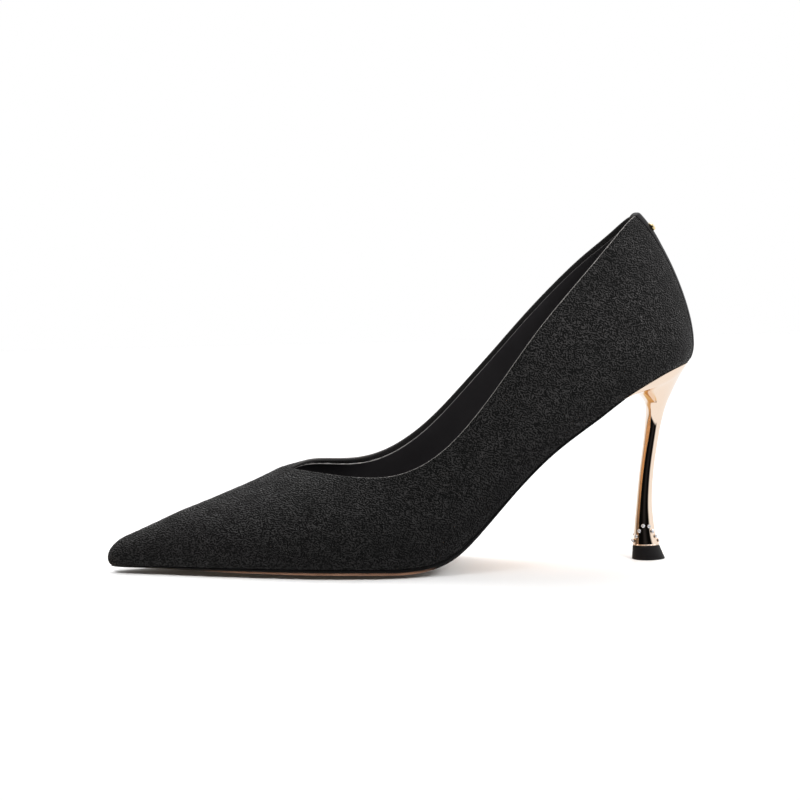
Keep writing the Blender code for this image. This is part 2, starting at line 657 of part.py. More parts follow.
# The frame's origin lies on the floor under the middle of the finished shoe.
def centre_on_floor():
    bpy.context.view_layer.update()
    points = [shape.matrix_world @ vertex.co for shape in PARTS.objects for vertex in shape.data.vertices]
    low, high = np.min(points, axis=0), np.max(points, axis=0)
    for shape in PARTS.objects:
        shape.location.x -= (low[0] + high[0]) / 2
        shape.location.y -= (low[1] + high[1]) / 2


make_upper()
make_insole()
make_rand()
make_outsole()
make_heel()
make_top_piece()
make_crystals()
make_back_strip()
make_badge()
centre_on_floor()
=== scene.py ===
"""High-heeled court shoe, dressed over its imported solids: crinkled black leather, a polished
gold heel with a row of crystals, a black inked rand and a tan leather sole."""

import math
from collections import namedtuple

import bmesh
import bpy
import numpy as np
from mathutils import Matrix, Vector


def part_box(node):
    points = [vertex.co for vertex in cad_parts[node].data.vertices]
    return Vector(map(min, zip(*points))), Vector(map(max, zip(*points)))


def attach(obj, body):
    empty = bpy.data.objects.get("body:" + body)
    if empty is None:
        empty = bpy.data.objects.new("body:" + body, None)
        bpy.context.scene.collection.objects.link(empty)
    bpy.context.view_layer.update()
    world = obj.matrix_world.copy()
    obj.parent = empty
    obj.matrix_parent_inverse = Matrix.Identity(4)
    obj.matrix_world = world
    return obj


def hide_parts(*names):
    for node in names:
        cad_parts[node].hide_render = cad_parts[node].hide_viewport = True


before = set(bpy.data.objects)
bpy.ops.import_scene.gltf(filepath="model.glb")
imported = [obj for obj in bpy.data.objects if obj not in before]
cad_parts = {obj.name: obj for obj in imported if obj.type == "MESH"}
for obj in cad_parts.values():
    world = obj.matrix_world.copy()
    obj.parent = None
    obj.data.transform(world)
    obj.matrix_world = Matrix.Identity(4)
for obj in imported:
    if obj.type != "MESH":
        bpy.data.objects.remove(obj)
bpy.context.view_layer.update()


# Upper. Goat leather printed with a fine crinkle, cut in one piece and pulled over the last.
# Its lower edge is turned under and glued, and its top edge is folded to the inside.
# The last's own shape comes first, because every other piece of the shoe follows it.
MM = 0.001
LENGTH = 243.0
BALL_WIDTH = 75.0
HEEL_HEIGHT = 82.0
BACK_HEIGHT = 142.0
WALL = 1.5

# The last's bottom edge from the toe to the back: along in percent of LENGTH, the two sides in
# percent of BALL_WIDTH, the rises in percent of HEEL_HEIGHT, and how the wall starts from it.
Foot = namedtuple("Foot", "along lateral medial lateral_rise medial_rise lean pull")
FEATHER = [
    Foot(0.55, -4.0, 4.0, 4.0, 4.0, 36, 0.40),
    Foot(1.7, 2.4, 10.1, 4.05, 4.05, 30, 0.40),
    Foot(4.1, 6.9, 14.3, 4.3, 4.3, 20, 0.40),
    Foot(8.8, 13.1, 20.0, 4.5, 4.5, 15, 0.40),
    Foot(15.0, 22.0, 27.1, 4.65, 4.65, 12, 0.40),
    Foot(21.2, 30.4, 33.3, 4.8, 4.8, 10, 0.40),
    Foot(27.4, 37.7, 39.3, 4.9, 4.9, 9, 0.40),
    Foot(32.3, 42.9, 43.6, 4.95, 4.95, 9, 0.40),
    Foot(37.7, 47.2, 47.2, 5.0, 5.0, 9, 0.40),
    Foot(43.8, 49.9, 47.9, 4.9, 4.9, 9, 0.39),
    Foot(50.0, 49.1, 44.7, 4.8, 4.9, 9, 0.38),
    Foot(56.2, 45.3, 38.9, 8.6, 9.2, 9, 0.37),
    Foot(62.3, 40.7, 33.6, 22.8, 24.8, 9, 0.36),
    Foot(68.5, 37.3, 30.7, 41.8, 44.8, 10, 0.35),
    Foot(74.7, 35.3, 30.1, 59.1, 62.0, 11, 0.34),
    Foot(81.7, 34.0, 31.3, 74.1, 75.9, 13, 0.32),
    Foot(87.9, 32.8, 32.3, 86.6, 87.0, 16, 0.29),
    Foot(93.2, 28.7, 28.7, 95.1, 95.1, 20, 0.26),
    Foot(96.9, 19.2, 19.2, 99.0, 99.0, 28, 0.21),
    Foot(99.1, 0.0, 0.0, 100.0, 100.0, 34, 0.185),
]
# The vamp's ridge and then the collar at the same sections, the rises in percent of BACK_HEIGHT
Top = namedtuple("Top", "along lateral medial lateral_rise medial_rise lateral_lean medial_lean pull")
TOPLINE = [
    Top(3.5, -4.0, 4.0, 10.7, 10.7, 0, 0, 0.37),
    Top(4.7, -3.9, 3.9, 11.5, 11.5, 0, 0, 0.38),
    Top(7.6, -3.5, 3.5, 13.6, 13.6, 0, 0, 0.39),
    Top(11.7, -2.9, 2.9, 16.75, 16.75, 1, -1, 0.40),
    Top(17.1, -2.2, 2.2, 20.25, 20.25, 3, -3, 0.40),
    Top(22.4, -1.5, 1.5, 23.65, 23.65, 7, -7, 0.40),
    Top(27.4, -0.9, 0.9, 26.95, 26.95, 11, -11, 0.40),
    Top(31.0, -0.5, 0.5, 29.25, 29.25, 15, -15, 0.40),
    Top(35.2, 16.0, 21.3, 28.9, 30.5, 25, 14, 0.40),
    Top(42.2, 32.0, 30.4, 28.1, 29.95, 47, 41, 0.39),
    Top(48.8, 37.3, 33.7, 28.9, 32.55, 62, 60, 0.37),
    Top(54.9, 38.0, 35.2, 33.7, 39.25, 72, 72, 0.36),
    Top(61.1, 36.4, 34.7, 43.6, 49.65, 78, 78, 0.35),
    Top(66.9, 34.5, 33.6, 56.1, 60.4, 80, 80, 0.35),
    Top(72.2, 32.5, 32.4, 68.1, 70.45, 80, 80, 0.36),
    Top(77.6, 29.1, 29.3, 78.7, 80.1, 78, 78, 0.38),
    Top(82.5, 24.0, 24.0, 87.7, 88.2, 73, 73, 0.39),
    Top(86.8, 17.2, 17.2, 95.5, 94.7, 66, 66, 0.37),
    Top(89.5, 9.9, 9.9, 99.6, 99.1, 55, 55, 0.33),
    Top(90.9, 0.0, 0.0, 100.1, 100.1, 47, 47, 0.285),
]
THROAT = 7
SLOPE_FADE_END = 10
# A short step along the last for its slopes, and the distance within which points are welded
NUDGE, WELD = 0.05, 0.002


def spline(knots, values):
    """A function of the knots' parameter that runs smoothly through the rows of values."""
    knots, values = np.asarray(knots, float), np.asarray(values, float)
    steps = np.diff(knots)
    matrix, target = np.eye(len(knots)), np.zeros(values.shape)
    for i in range(1, len(knots) - 1):
        matrix[i, i - 1 : i + 2] = steps[i - 1], 2 * (steps[i - 1] + steps[i]), steps[i]
        target[i] = 6 * ((values[i + 1] - values[i]) / steps[i] - (values[i] - values[i - 1]) / steps[i - 1])
    bends = np.linalg.solve(matrix, target)

    def at(parameter):
        parameter = np.asarray(parameter, float)
        i = np.clip(np.searchsorted(knots, parameter) - 1, 0, len(knots) - 2)
        step = (knots[i + 1] - knots[i])[..., None]
        b = (parameter - knots[i])[..., None] / step
        a = 1 - b
        bend = (a**3 - a) * bends[i] + (b**3 - b) * bends[i + 1]
        return a * values[i] + b * values[i + 1] + bend * step**2 / 6

    return at


def section_points(rows, height):
    """Lateral and medial points of each section."""
    along = np.array([row.along for row in rows]) / 100 * LENGTH - LENGTH / 2
    lateral = np.array([(-row.lateral * BALL_WIDTH, row.lateral_rise * height) for row in rows]) / 100
    medial = np.array([(row.medial * BALL_WIDTH, row.medial_rise * height) for row in rows]) / 100
    return np.column_stack([along, lateral]), np.column_stack([along, medial])


def around(lateral, medial, first=0):
    """From the toe along the lateral side to the back, then along the medial side to the toe."""
    return np.concatenate([lateral[first:], medial[first:-1][::-1]])


foot_lateral, foot_medial = section_points(FEATHER, HEEL_HEIGHT)
top_lateral, top_medial = section_points(TOPLINE, BACK_HEIGHT)
paces = [np.linalg.norm(np.diff(side, axis=0), axis=1) for side in (foot_lateral, foot_medial)]
KNOTS = np.concatenate([[0], np.cumsum(np.mean(paces, axis=0))])
NOTCH, BACK = KNOTS[THROAT], KNOTS[-1]
LOOP = 2 * BACK


def closed_spline(values):
    """A spline round the whole shoe, carried over the toe at both ends so that it joins smoothly."""
    lap = 6
    knots, values = around(KNOTS, LOOP - KNOTS)[:-1], values[:-1]
    knots = np.concatenate([knots[-lap:] - LOOP, knots, knots[: lap + 1] + LOOP])
    return spline(knots, np.concatenate([values[-lap:], values, values[: lap + 1]]))


foot_shape = np.array([(row.lean, row.pull) for row in FEATHER])
top_shapes = [np.array([(getattr(row, lean), row.pull) for row in TOPLINE]) for lean in Top._fields[5:7]]
feather_at = closed_spline(around(foot_lateral, foot_medial))
foot_shape_at = closed_spline(around(foot_shape, foot_shape))
top_shape_at = closed_spline(around(*top_shapes))
ridge_at = spline(KNOTS[: THROAT + 1], top_lateral[: THROAT + 1])
collar_at = spline(around(KNOTS, LOOP - KNOTS, THROAT), around(top_lateral, top_medial, THROAT))


def unit(vectors):
    return vectors / np.linalg.norm(vectors, axis=-1, keepdims=True)


def from_toe(k):
    """Distance from the toe along either side, for a place k on the way round the shoe."""
    k = np.mod(k, LOOP)
    return np.minimum(k, LOOP - k)


def outward_at(k):
    """Level direction out of the last's bottom edge."""
    run = feather_at(k + NUDGE) - feather_at(k - NUDGE)
    return unit(np.stack([run[..., 1], -run[..., 0], 0 * run[..., 0]], axis=-1))


def ridge_slope_at(k):
    """Climb of the vamp's ridge per millimetre, fading out along the collar."""
    near = np.minimum(from_toe(k), NOTCH)
    run = ridge_at(near) - ridge_at(near - NUDGE)
    fade = 1 - (from_toe(k) - NOTCH) / (KNOTS[SLOPE_FADE_END] - NOTCH)
    return run[..., 2] / run[..., 0] * np.clip(fade, 0, 1)


def topline_at(k):
    """Ridge of the vamp ahead of the throat, collar behind it."""
    k = np.mod(np.asarray(k, float), LOOP)
    ridge = ridge_at(np.minimum(from_toe(k), NOTCH))
    collar = collar_at(np.clip(k, NOTCH, LOOP - NOTCH))
    return np.where((from_toe(k) <= NOTCH)[..., None], ridge, collar)


def wall_at(k, v):
    """The last's side: k runs round the shoe from the toe, v from the sole (0) to the top (1)."""
    k, v = np.broadcast_arrays(np.asarray(k, float), np.asarray(v, float))
    round_k = np.mod(k, LOOP)
    foot, top, out = feather_at(round_k), topline_at(k), outward_at(round_k)
    foot_form, top_form = foot_shape_at(round_k), top_shape_at(round_k)
    reach = np.linalg.norm(top - foot, axis=-1)
    lean, fall = np.radians(foot_form[..., 0]), np.radians(top_form[..., 0])
    rising = out * np.sin(lean)[..., None]
    rising[..., 2] = np.cos(lean)
    falling = out * np.cos(fall)[..., None]
    falling[..., 2] = ridge_slope_at(k) * out[..., 0] * np.cos(fall) - np.sin(fall)
    near_foot = foot + rising * (foot_form[..., 1] * reach)[..., None]
    near_top = top + unit(falling) * (top_form[..., 1] * reach)[..., None]
    v = v[..., None]
    w = 1 - v
    return w**3 * foot + 3 * w**2 * v * near_foot + 3 * w * v**2 * near_top + v**3 * top


def wall_normal_at(k, v):
    """Direction out of the last's side: level along the sole, and the same from both sides on the ridge."""
    k, v = np.broadcast_arrays(np.asarray(k, float), np.asarray(v, float))
    low, high = np.maximum(v - 0.002, 0), np.minimum(v + 0.002, 1)
    along, up = wall_at(k + NUDGE, v) - wall_at(k - NUDGE, v), wall_at(k, high) - wall_at(k, low)
    normal = unit(np.cross(along, up))
    normal[v == 0, 2] = 0
    seam = (v == 1) & (from_toe(k) <= NOTCH)
    near = from_toe(k[seam])
    tilt = np.radians(top_shape_at(near)[..., 0])
    across = np.stack([0 * tilt, np.cos(tilt), np.sin(tilt)], axis=-1)
    normal[seam] = np.cross(ridge_at(near + NUDGE) - ridge_at(near - NUDGE), across)
    return unit(normal)


def skin_at(k, v, out=0.0):
    """The last's side moved outward by out millimetres."""
    return wall_at(k, v) + np.asarray(out)[..., None] * wall_normal_at(k, v)


# The shoe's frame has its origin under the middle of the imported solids, and the last its own axis.
middle_of_upper = sum(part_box("upper"), Vector()) / 2
whole_wall = wall_at(np.linspace(0, LOOP, 1200)[:, None], np.linspace(0, 1, 60))
middle_of_wall = (whole_wall.min(axis=(0, 1)) + whole_wall.max(axis=(0, 1))) / 2
AXIS = np.array([middle_of_upper.x / MM - middle_of_wall[0], middle_of_upper.y / MM - middle_of_wall[1], 0])


def close_mesh(mesh):
    """Welds a mesh's doubled points and turns its faces outward."""
    bm = bmesh.new()
    bm.from_mesh(mesh)
    bmesh.ops.remove_doubles(bm, verts=bm.verts, dist=WELD * MM)
    bmesh.ops.recalc_face_normals(bm, faces=bm.faces)
    bm.to_mesh(mesh)
    bm.free()


def grid_mesh(name, grids, marks=None):
    """One welded mesh from grids of points in millimetres, each (points, closed round its rows).

    marks gives each grid's points a number, kept on the mesh as the attribute "skin".
    """
    points, faces, count = [], [], 0
    for grid, closed in grids:
        rows, columns = grid.shape[:2]
        index = np.arange(rows * columns).reshape(rows, columns) + count
        here, there = index, np.roll(index, -1, axis=0)
        if not closed:
            here, there = here[:-1], there[:-1]
        quads = np.stack([here[:, :-1], there[:, :-1], there[:, 1:], here[:, 1:]], axis=-1)
        faces += quads.reshape(-1, 4).tolist()
        points.append(grid.reshape(-1, 3))
        count += rows * columns
    mesh = bpy.data.meshes.new(name)
    mesh.from_pydata(((np.concatenate(points) + AXIS) * MM).tolist(), [], faces)
    if marks is not None:
        skin = mesh.attributes.new("skin", "FLOAT", "POINT")
        skin.data.foreach_set("value", np.concatenate([mark.ravel() for mark in marks]))
    close_mesh(mesh)
    mesh.shade_smooth()
    return mesh


def add_object(name, data):
    """An object put into the scene."""
    added = bpy.data.objects.new(name, data)
    bpy.context.scene.collection.objects.link(added)
    return added


def add_piece(name, mesh, material, slot, *nodes):
    """Puts a finished mesh into the scene, in place of its CAD nodes where it has some."""
    piece = add_object(name, mesh)
    if material.name not in mesh.materials:
        mesh.materials.append(material)
    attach(piece, "root")
    if nodes:
        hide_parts(*nodes)


def to_linear(hex_color):
    """A linear colour from an sRGB hex value."""
    parts = [int(hex_color[i : i + 2], 16) / 255 for i in (1, 3, 5)]
    return (*(p / 12.92 if p <= 0.04045 else ((p + 0.055) / 1.055) ** 2.4 for p in parts), 1)


def output_of(source):
    """The output to link: the one given, or a node's first."""
    return next(o for o in source.outputs if o.enabled) if isinstance(source, bpy.types.Node) else source


def add_node(tree, kind, inputs=None, stops=(), **settings):
    """Adds a node with its settings and links.

    inputs gives its sockets a value, another node or one of its outputs, and stops gives a colour
    ramp its colours as (position, sRGB hex).
    """
    node = tree.nodes.new(kind)
    for name, value in settings.items():
        setattr(node, name, value)
    for socket, value in (inputs or {}).items():
        if isinstance(value, (bpy.types.Node, bpy.types.NodeSocket)):
            tree.links.new(output_of(value), node.inputs[socket])
        else:
            node.inputs[socket].default_value = value
    if stops:
        ramp = node.color_ramp.elements
        while len(ramp) < len(stops):
            ramp.new(0.5)
        for stop, (position, color) in zip(ramp, stops):
            stop.position = position
            stop.color = to_linear(color)
    return node


def new_material(name, **constants):
    """A material with its shader's constant sockets set by name, its tree and the place on the object."""
    material = bpy.data.materials.new(name)
    material.use_nodes = True
    tree = material.node_tree
    for socket, value in constants.items():
        tree.nodes["Principled BSDF"].inputs[socket.replace("_", " ")].default_value = value
    return material, tree, add_node(tree, "ShaderNodeTexCoord").outputs["Object"]


def link_shader(material, **sources):
    """Links nodes to the sockets of a material's shader by name, and gives the finished material."""
    tree = material.node_tree
    for socket, source in sources.items():
        tree.links.new(output_of(source), tree.nodes["Principled BSDF"].inputs[socket.replace("_", " ")])
    return material


# Goat leather, drum-dyed and pressed with a crinkle plate: short meandering ridges with rougher
# creases between them. The ridges lie about 0.9 mm apart, most of them along the shoe, and fade in
# calmer patches. Their crests are coloured lighter as a painted highlight, the creases darker as painted
# shade.
RIDGE_SPACING = 0.88
RIDGES_TOGETHER = 1.7
RIDGE_WANDER = 0.4
RIDGE_BEND = 2.4
PATCH_SIZE = 7.0


def crinkled_leather():
    material, tree, place = new_material("crinkled_goat_leather", IOR=1.45, Specular_IOR_Level=0.17)
    drift = add_node(tree, "ShaderNodeTexNoise",
                     {"Vector": place, "Scale": 1 / (RIDGE_BEND * MM), "Detail": 1})
    centred = add_node(tree, "ShaderNodeVectorMath", {0: drift.outputs["Color"], 1: (0.5, 0.5, 0.5)},
                       operation="SUBTRACT")
    moved = add_node(tree, "ShaderNodeVectorMath", {0: centred, "Scale": 2 * RIDGE_WANDER * MM},
                     operation="SCALE")
    wandering = add_node(tree, "ShaderNodeVectorMath", {0: place, 1: moved}, operation="ADD")
    ridges = add_node(tree, "ShaderNodeTexGabor",
                      {"Vector": wandering, "Scale": 1 / (RIDGE_SPACING * RIDGES_TOGETHER * MM),
                       "Frequency": RIDGES_TOGETHER, "Anisotropy": 0.35, "Orientation": (0.2, 0.0, 1.0)},
                      gabor_type="3D")
    crest = add_node(tree, "ShaderNodeMapRange", {"Value": ridges, "From Min": 0.43, "From Max": 0.61})
    patches = add_node(tree, "ShaderNodeTexNoise",
                       {"Vector": place, "Scale": 1 / (PATCH_SIZE * MM), "Detail": 2})
    calm = add_node(tree, "ShaderNodeMapRange", {"Value": patches, "From Min": 0.35, "From Max": 0.6,
                                                 "To Min": 0.6, "To Max": 1.0})
    crinkle = add_node(tree, "ShaderNodeMath", {0: crest, 1: calm}, operation="MULTIPLY")
    skin = add_node(tree, "ShaderNodeAttribute", attribute_name="skin").outputs["Fac"]
    face = add_node(tree, "ShaderNodeMapRange", {"Value": skin, "From Max": 0.25})
    height = add_node(tree, "ShaderNodeMath", {0: crinkle, 1: face}, operation="MULTIPLY")
    # Painted shade: the leather's colour is darker within 16 mm of the sole, and along the collar's top edge
    painted_edge_shade = add_node(tree, "ShaderNodeMapRange", {"Value": skin, "To Min": 0.6, "To Max": 1.0})
    tone = add_node(tree, "ShaderNodeMath", {0: crinkle, 1: painted_edge_shade}, operation="MULTIPLY")
    # Painted highlight and shade: the colour runs from dark in the creases to light on the crests
    shade = add_node(tree, "ShaderNodeValToRGB", {"Fac": tone}, stops=((0, "#0b0b0b"), (1, "#2d2c2c")))
    fold = add_node(tree, "ShaderNodeMapRange", {"Value": skin, "From Max": FOLD_MARK})
    # Painted highlight: the outer half of the collar's fold is coloured pale, and the inside takes a plain
    # dark tone
    skived = add_node(tree, "ShaderNodeValToRGB", {"Fac": fold}, stops=((0.6, "#2b2a2a"), (1, "#706d6b")))
    inside = add_node(tree, "ShaderNodeMapRange", {"Value": fold, "From Max": 0.5})
    turned = add_node(tree, "ShaderNodeMix", {"Factor": inside, "A": shade, "B": skived}, data_type="RGBA")
    gloss = add_node(tree, "ShaderNodeMapRange", {"Value": crinkle, "To Min": 0.95, "To Max": 0.3})
    bump = add_node(tree, "ShaderNodeBump", {"Height": height, "Strength": 1.0, "Distance": 0.5 * MM})
    return link_shader(material, Base_Color=turned, Roughness=gloss, Normal=bump)


UPPER_STEP = 0.8
UPPER_ROWS = 70
INNER_ROWS = 14
FEATHER_ROUND = 0.5
FEATHER_STEPS = 4
THROAT_TURN = 4.0
FOLD_HEIGHT = 0.35
FOLD_STEPS = 8
FOLD_OUTSIDE = 0.4
FOLD_HIGHLIGHT_FADE = 25.0
FOLD_MARK = -0.05
INSIDE_SHARE = 0.6
CALM_AND_SHADE_FOOT, CALM_TOP = 16.0, 1.5


def places_round(step):
    """Places round the shoe about step millimetres apart, with one on each corner of the throat."""
    vamp = np.linspace(0, NOTCH, round(NOTCH / step) + 1)
    quarter = np.linspace(NOTCH, BACK, round((BACK - NOTCH) / step) + 1)[1:]
    side = np.concatenate([vamp, quarter])
    return np.concatenate([side, LOOP - side[1:-1][::-1]])


def rib_speed(k, v):
    """Millimetres of wall for a unit of v."""
    low, high = np.clip(np.asarray(v) - 0.01, 0, 1), np.clip(np.asarray(v) + 0.01, 0, 1)
    return np.linalg.norm(wall_at(k, high) - wall_at(k, low), axis=-1) / (high - low)


def into_opening(k):
    """Direction across the collar's edge into the opening, and straight back in the throat's point."""
    edge = np.clip(np.mod(k, LOOP), NOTCH, LOOP - NOTCH)
    ahead = np.clip(edge - 2 * NUDGE, NOTCH, None)
    behind = np.clip(edge + 2 * NUDGE, None, LOOP - NOTCH)
    across = unit(np.cross(wall_normal_at(k, np.ones_like(k)), collar_at(behind) - collar_at(ahead)))
    share = np.clip((from_toe(k) - NOTCH) / THROAT_TURN, 0, 1)[..., None]
    backwards = unit(ridge_at(np.array(NOTCH)) - ridge_at(np.array(NOTCH - 2 * NUDGE)))
    return unit(share * across + (1 - share) * backwards)


def fold_over(k, outside, inside, height, steps):
    """Rows over the collar's edge, from outside millimetres out of the wall to inside."""
    rim, normal = wall_at(k, 1.0), wall_normal_at(k, np.ones_like(k))
    middle, half = (outside + inside) / 2, (outside - inside) / 2
    bend = np.linspace(0, math.pi, steps + 1)[None, :, None]
    spread = half * np.cos(bend) * normal[:, None]
    return rim[:, None] + middle * normal[:, None] + spread + height * np.sin(bend) * into_opening(k)[:, None]


def upper_mesh():
    k = places_round(UPPER_STEP)
    start = FEATHER_ROUND / rib_speed(k, 0 * k)
    rise = start[:, None] + (1 - start[:, None]) * np.linspace(0, 1, UPPER_ROWS + 1)
    rise[:, -1] = 1
    outer = skin_at(k[:, None], rise)
    normal = wall_normal_at(k, start)
    up = unit(wall_at(k, start + 0.01) - wall_at(k, start))
    turn = np.linspace(math.pi / 2, 0, FEATHER_STEPS + 1)[:-1][None, :, None]
    inward = 1 - np.cos(turn)
    turned_under = outer[:, :1] - FEATHER_ROUND * (inward * normal[:, None] + np.sin(turn) * up[:, None])
    face = np.concatenate([turned_under, outer], axis=1)
    inner = skin_at(k[:, None], np.linspace(0, 1, INNER_ROWS + 1), -WALL)
    collar = from_toe(k) >= NOTCH - 0.01
    edge = fold_over(k[collar], 0.0, -WALL, FOLD_HEIGHT, FOLD_STEPS)
    mm_per_v = rib_speed(k, 0.5 + 0 * k)[:, None]
    # The mark rises over 16 mm from the sole: it calms the grain's relief there and carries the painted shade
    calm_and_shade_foot = np.clip((rise - start[:, None]) * mm_per_v / CALM_AND_SHADE_FOOT, 0, 1)
    calm_top = np.where(collar[:, None], np.clip((1 - rise) * mm_per_v / CALM_TOP, 0, 1), 1)
    marks = [np.concatenate([np.zeros(turned_under.shape[:2]), calm_and_shade_foot * calm_top], axis=1)]
    foot = np.stack([face[:, 0], inner[:, 0]], axis=1)
    # The fold's outer half is marked for the painted highlight, which grows in behind the throat
    outside = np.arange(FOLD_STEPS + 1) <= FOLD_OUTSIDE * FOLD_STEPS
    behind_throat = np.clip((from_toe(k[collar]) - NOTCH) / FOLD_HIGHLIGHT_FADE, 0, 1)
    folded = INSIDE_SHARE + (1 - INSIDE_SHARE) * behind_throat[:, None] * outside
    for grid, share in ((inner, INSIDE_SHARE), (foot, 0.0), (edge, folded)):
        marks.append(np.zeros(grid.shape[:2]) + share * FOLD_MARK)
    grids = [(face, True), (inner, True), (foot, True), (edge, False)]
    return grid_mesh("upper", grids, marks)


def new_tree(name, inputs):
    """An empty Geometry Nodes tree with named inputs, its input node and its geometry output left to link."""
    tree = bpy.data.node_groups.new(name, "GeometryNodeTree")
    tree.interface.new_socket("Geometry", in_out="INPUT", socket_type="NodeSocketGeometry")
    for label, kind in inputs:
        tree.interface.new_socket(label, in_out="INPUT", socket_type=kind)
    tree.interface.new_socket("Geometry", in_out="OUTPUT", socket_type="NodeSocketGeometry")
    return tree, add_node(tree, "NodeGroupInput")


def end_tree(tree, geometry, material):
    """Ends a tree: its instances made real, its material set."""
    real = add_node(tree, "GeometryNodeRealizeInstances", {"Geometry": geometry})
    dressed = add_node(tree, "GeometryNodeSetMaterial", {"Geometry": real, "Material": material})
    add_node(tree, "NodeGroupOutput", {"Geometry": dressed})


def run_tree(mesh, tree, inputs):
    """The plain mesh that a tree makes of a mesh, with the tree's inputs set by name."""
    carrier = add_object(tree.name, mesh)
    modifier = carrier.modifiers.new(tree.name, "NODES")
    modifier.node_group = tree
    for item in tree.interface.items_tree:
        if item.name in inputs:
            modifier[item.identifier] = inputs[item.name]
    bpy.context.view_layer.update()
    made = bpy.data.meshes.new_from_object(carrier.evaluated_get(bpy.context.evaluated_depsgraph_get()))
    bpy.data.objects.remove(carrier)
    return made


def pucker_tree():
    """Low puckers of the pressed leather, a few millimetres across, as real relief."""
    tree, source = new_tree("crinkle_puckers", (("Pucker Size", "NodeSocketFloat"),
                                                ("Pucker Depth", "NodeSocketFloat"),
                                                ("Leather", "NodeSocketMaterial")))
    finer = add_node(tree, "ShaderNodeMath", {0: 1.0, 1: source.outputs["Pucker Size"]}, operation="DIVIDE")
    position = add_node(tree, "GeometryNodeInputPosition")
    puckers = add_node(tree, "ShaderNodeTexNoise",
                       {"Vector": position, "Scale": finer, "Detail": 2.0, "Distortion": 0.6})
    centred = add_node(tree, "ShaderNodeMath", {0: puckers, 1: 0.5}, operation="SUBTRACT")
    skin = add_node(tree, "GeometryNodeInputNamedAttribute", {"Name": "skin"}, data_type="FLOAT")
    masked = add_node(tree, "ShaderNodeMath", {0: centred, 1: skin}, operation="MULTIPLY")
    depth = add_node(tree, "ShaderNodeMath", {0: source.outputs["Pucker Depth"], 1: 4.0},
                     operation="MULTIPLY")
    amount = add_node(tree, "ShaderNodeMath", {0: masked, 1: depth}, operation="MULTIPLY")
    normal = add_node(tree, "GeometryNodeInputNormal")
    offset = add_node(tree, "ShaderNodeVectorMath", {0: normal, "Scale": amount}, operation="SCALE")
    moved = add_node(tree, "GeometryNodeSetPosition",
                     {"Geometry": source.outputs["Geometry"], "Offset": offset})
    end_tree(tree, moved, source.outputs["Leather"])
    return tree


PUCKER_SIZE, PUCKER_DEPTH = 3.2, 0.1
leather = crinkled_leather()
puckers = {"Pucker Size": PUCKER_SIZE * MM, "Pucker Depth": PUCKER_DEPTH * MM, "Leather": leather}
add_piece("upper", run_tree(upper_mesh(), pucker_tree(), puckers), leather, "crinkled_leather", "upper")


# Lining. Thin smooth kid leather glued inside the upper. Its cut edge lies a little below the
# folded topline, where it shows as a fine pale line.
LINING = 0.45
LINING_DROP = 2.0
LINING_FREE = 0.05
LINING_EDGE = 0.3
LINING_START = 0.5
LINING_THROAT, LINING_LEAST = 6.0, 0.15
PALE_THROAT, PALE_BACK = 1.1, 0.2
LINING_STEP = 1.2
LINING_ROWS = 30


def lining_mesh():
    k = places_round(LINING_STEP)
    collar = from_toe(k) >= NOTCH - 0.01
    v_per_mm = 1 / rib_speed(k, 1 + 0 * k)
    drop = LINING_DROP * np.clip((from_toe(k) - NOTCH) / LINING_THROAT, LINING_LEAST, 1)
    top = np.where(collar, 1 - drop * v_per_mm, 1.0)
    start = LINING_START / rib_speed(k, 0 * k)
    below = top - np.where(collar, 2 * LINING_EDGE * v_per_mm, 0)
    rise = start[:, None] + (below - start)[:, None] * np.linspace(0, 1, LINING_ROWS + 1)
    rise = np.column_stack([rise, (below + top) / 2, top])
    outer = skin_at(k[:, None], rise, -WALL - LINING_FREE)
    inner = skin_at(k[:, None], rise, -WALL - LINING_FREE - LINING)
    grids = [(outer, True), (inner, True), (np.stack([outer[:, 0], inner[:, 0]], axis=1), True),
             (np.stack([outer[collar, -1], inner[collar, -1]], axis=1), False)]
    pale = np.zeros(rise.shape)
    # The cut edge is palest at the throat and fades towards the back
    edge_paleness = np.clip(PALE_THROAT - (from_toe(k) - NOTCH) / (BACK - NOTCH), PALE_BACK, 1)
    pale[collar, -1] = edge_paleness[collar]
    marks = [pale, pale, np.zeros(grids[2][0].shape[:2]), pale[collar, -2:]]
    return grid_mesh("lining", grids, marks)


# Kid leather, dyed black and glazed: an even satin face with a barely visible pore, which is drawn
# a few times coarser than the real one so that it shows. Where the mesh is marked as a cut edge
# it shows the paler, undyed middle of the skin.
def smooth_leather(name, colors, pore, shine):
    material, tree, place = new_material(name, IOR=1.45, Specular_IOR_Level=shine)
    pores = add_node(tree, "ShaderNodeTexVoronoi", {"Vector": place, "Scale": 1 / (pore * MM)})
    cloud = add_node(tree, "ShaderNodeTexNoise", {"Vector": place, "Scale": 1 / (14 * MM), "Detail": 3})
    shade = add_node(tree, "ShaderNodeValToRGB", {"Fac": cloud}, stops=((0, colors[0]), (1, colors[1])))
    cut = add_node(tree, "ShaderNodeAttribute", attribute_name="skin").outputs["Fac"]
    edged = add_node(tree, "ShaderNodeMix", {"Factor": cut, "A": shade, "B": to_linear("#b4b1af")},
                     data_type="RGBA")
    gloss = add_node(tree, "ShaderNodeMapRange", {"Value": cloud, "To Min": 0.34, "To Max": 0.5})
    bump = add_node(tree, "ShaderNodeBump", {"Height": pores, "Strength": 0.25, "Distance": 0.08 * MM})
    return link_shader(material, Base_Color=edged, Roughness=gloss, Normal=bump)


lining_leather = smooth_leather("glazed_kid_lining", ("#343234", "#3f3d3f"), 0.7, 0.45)
add_piece("lining", lining_mesh(), lining_leather, "lining")


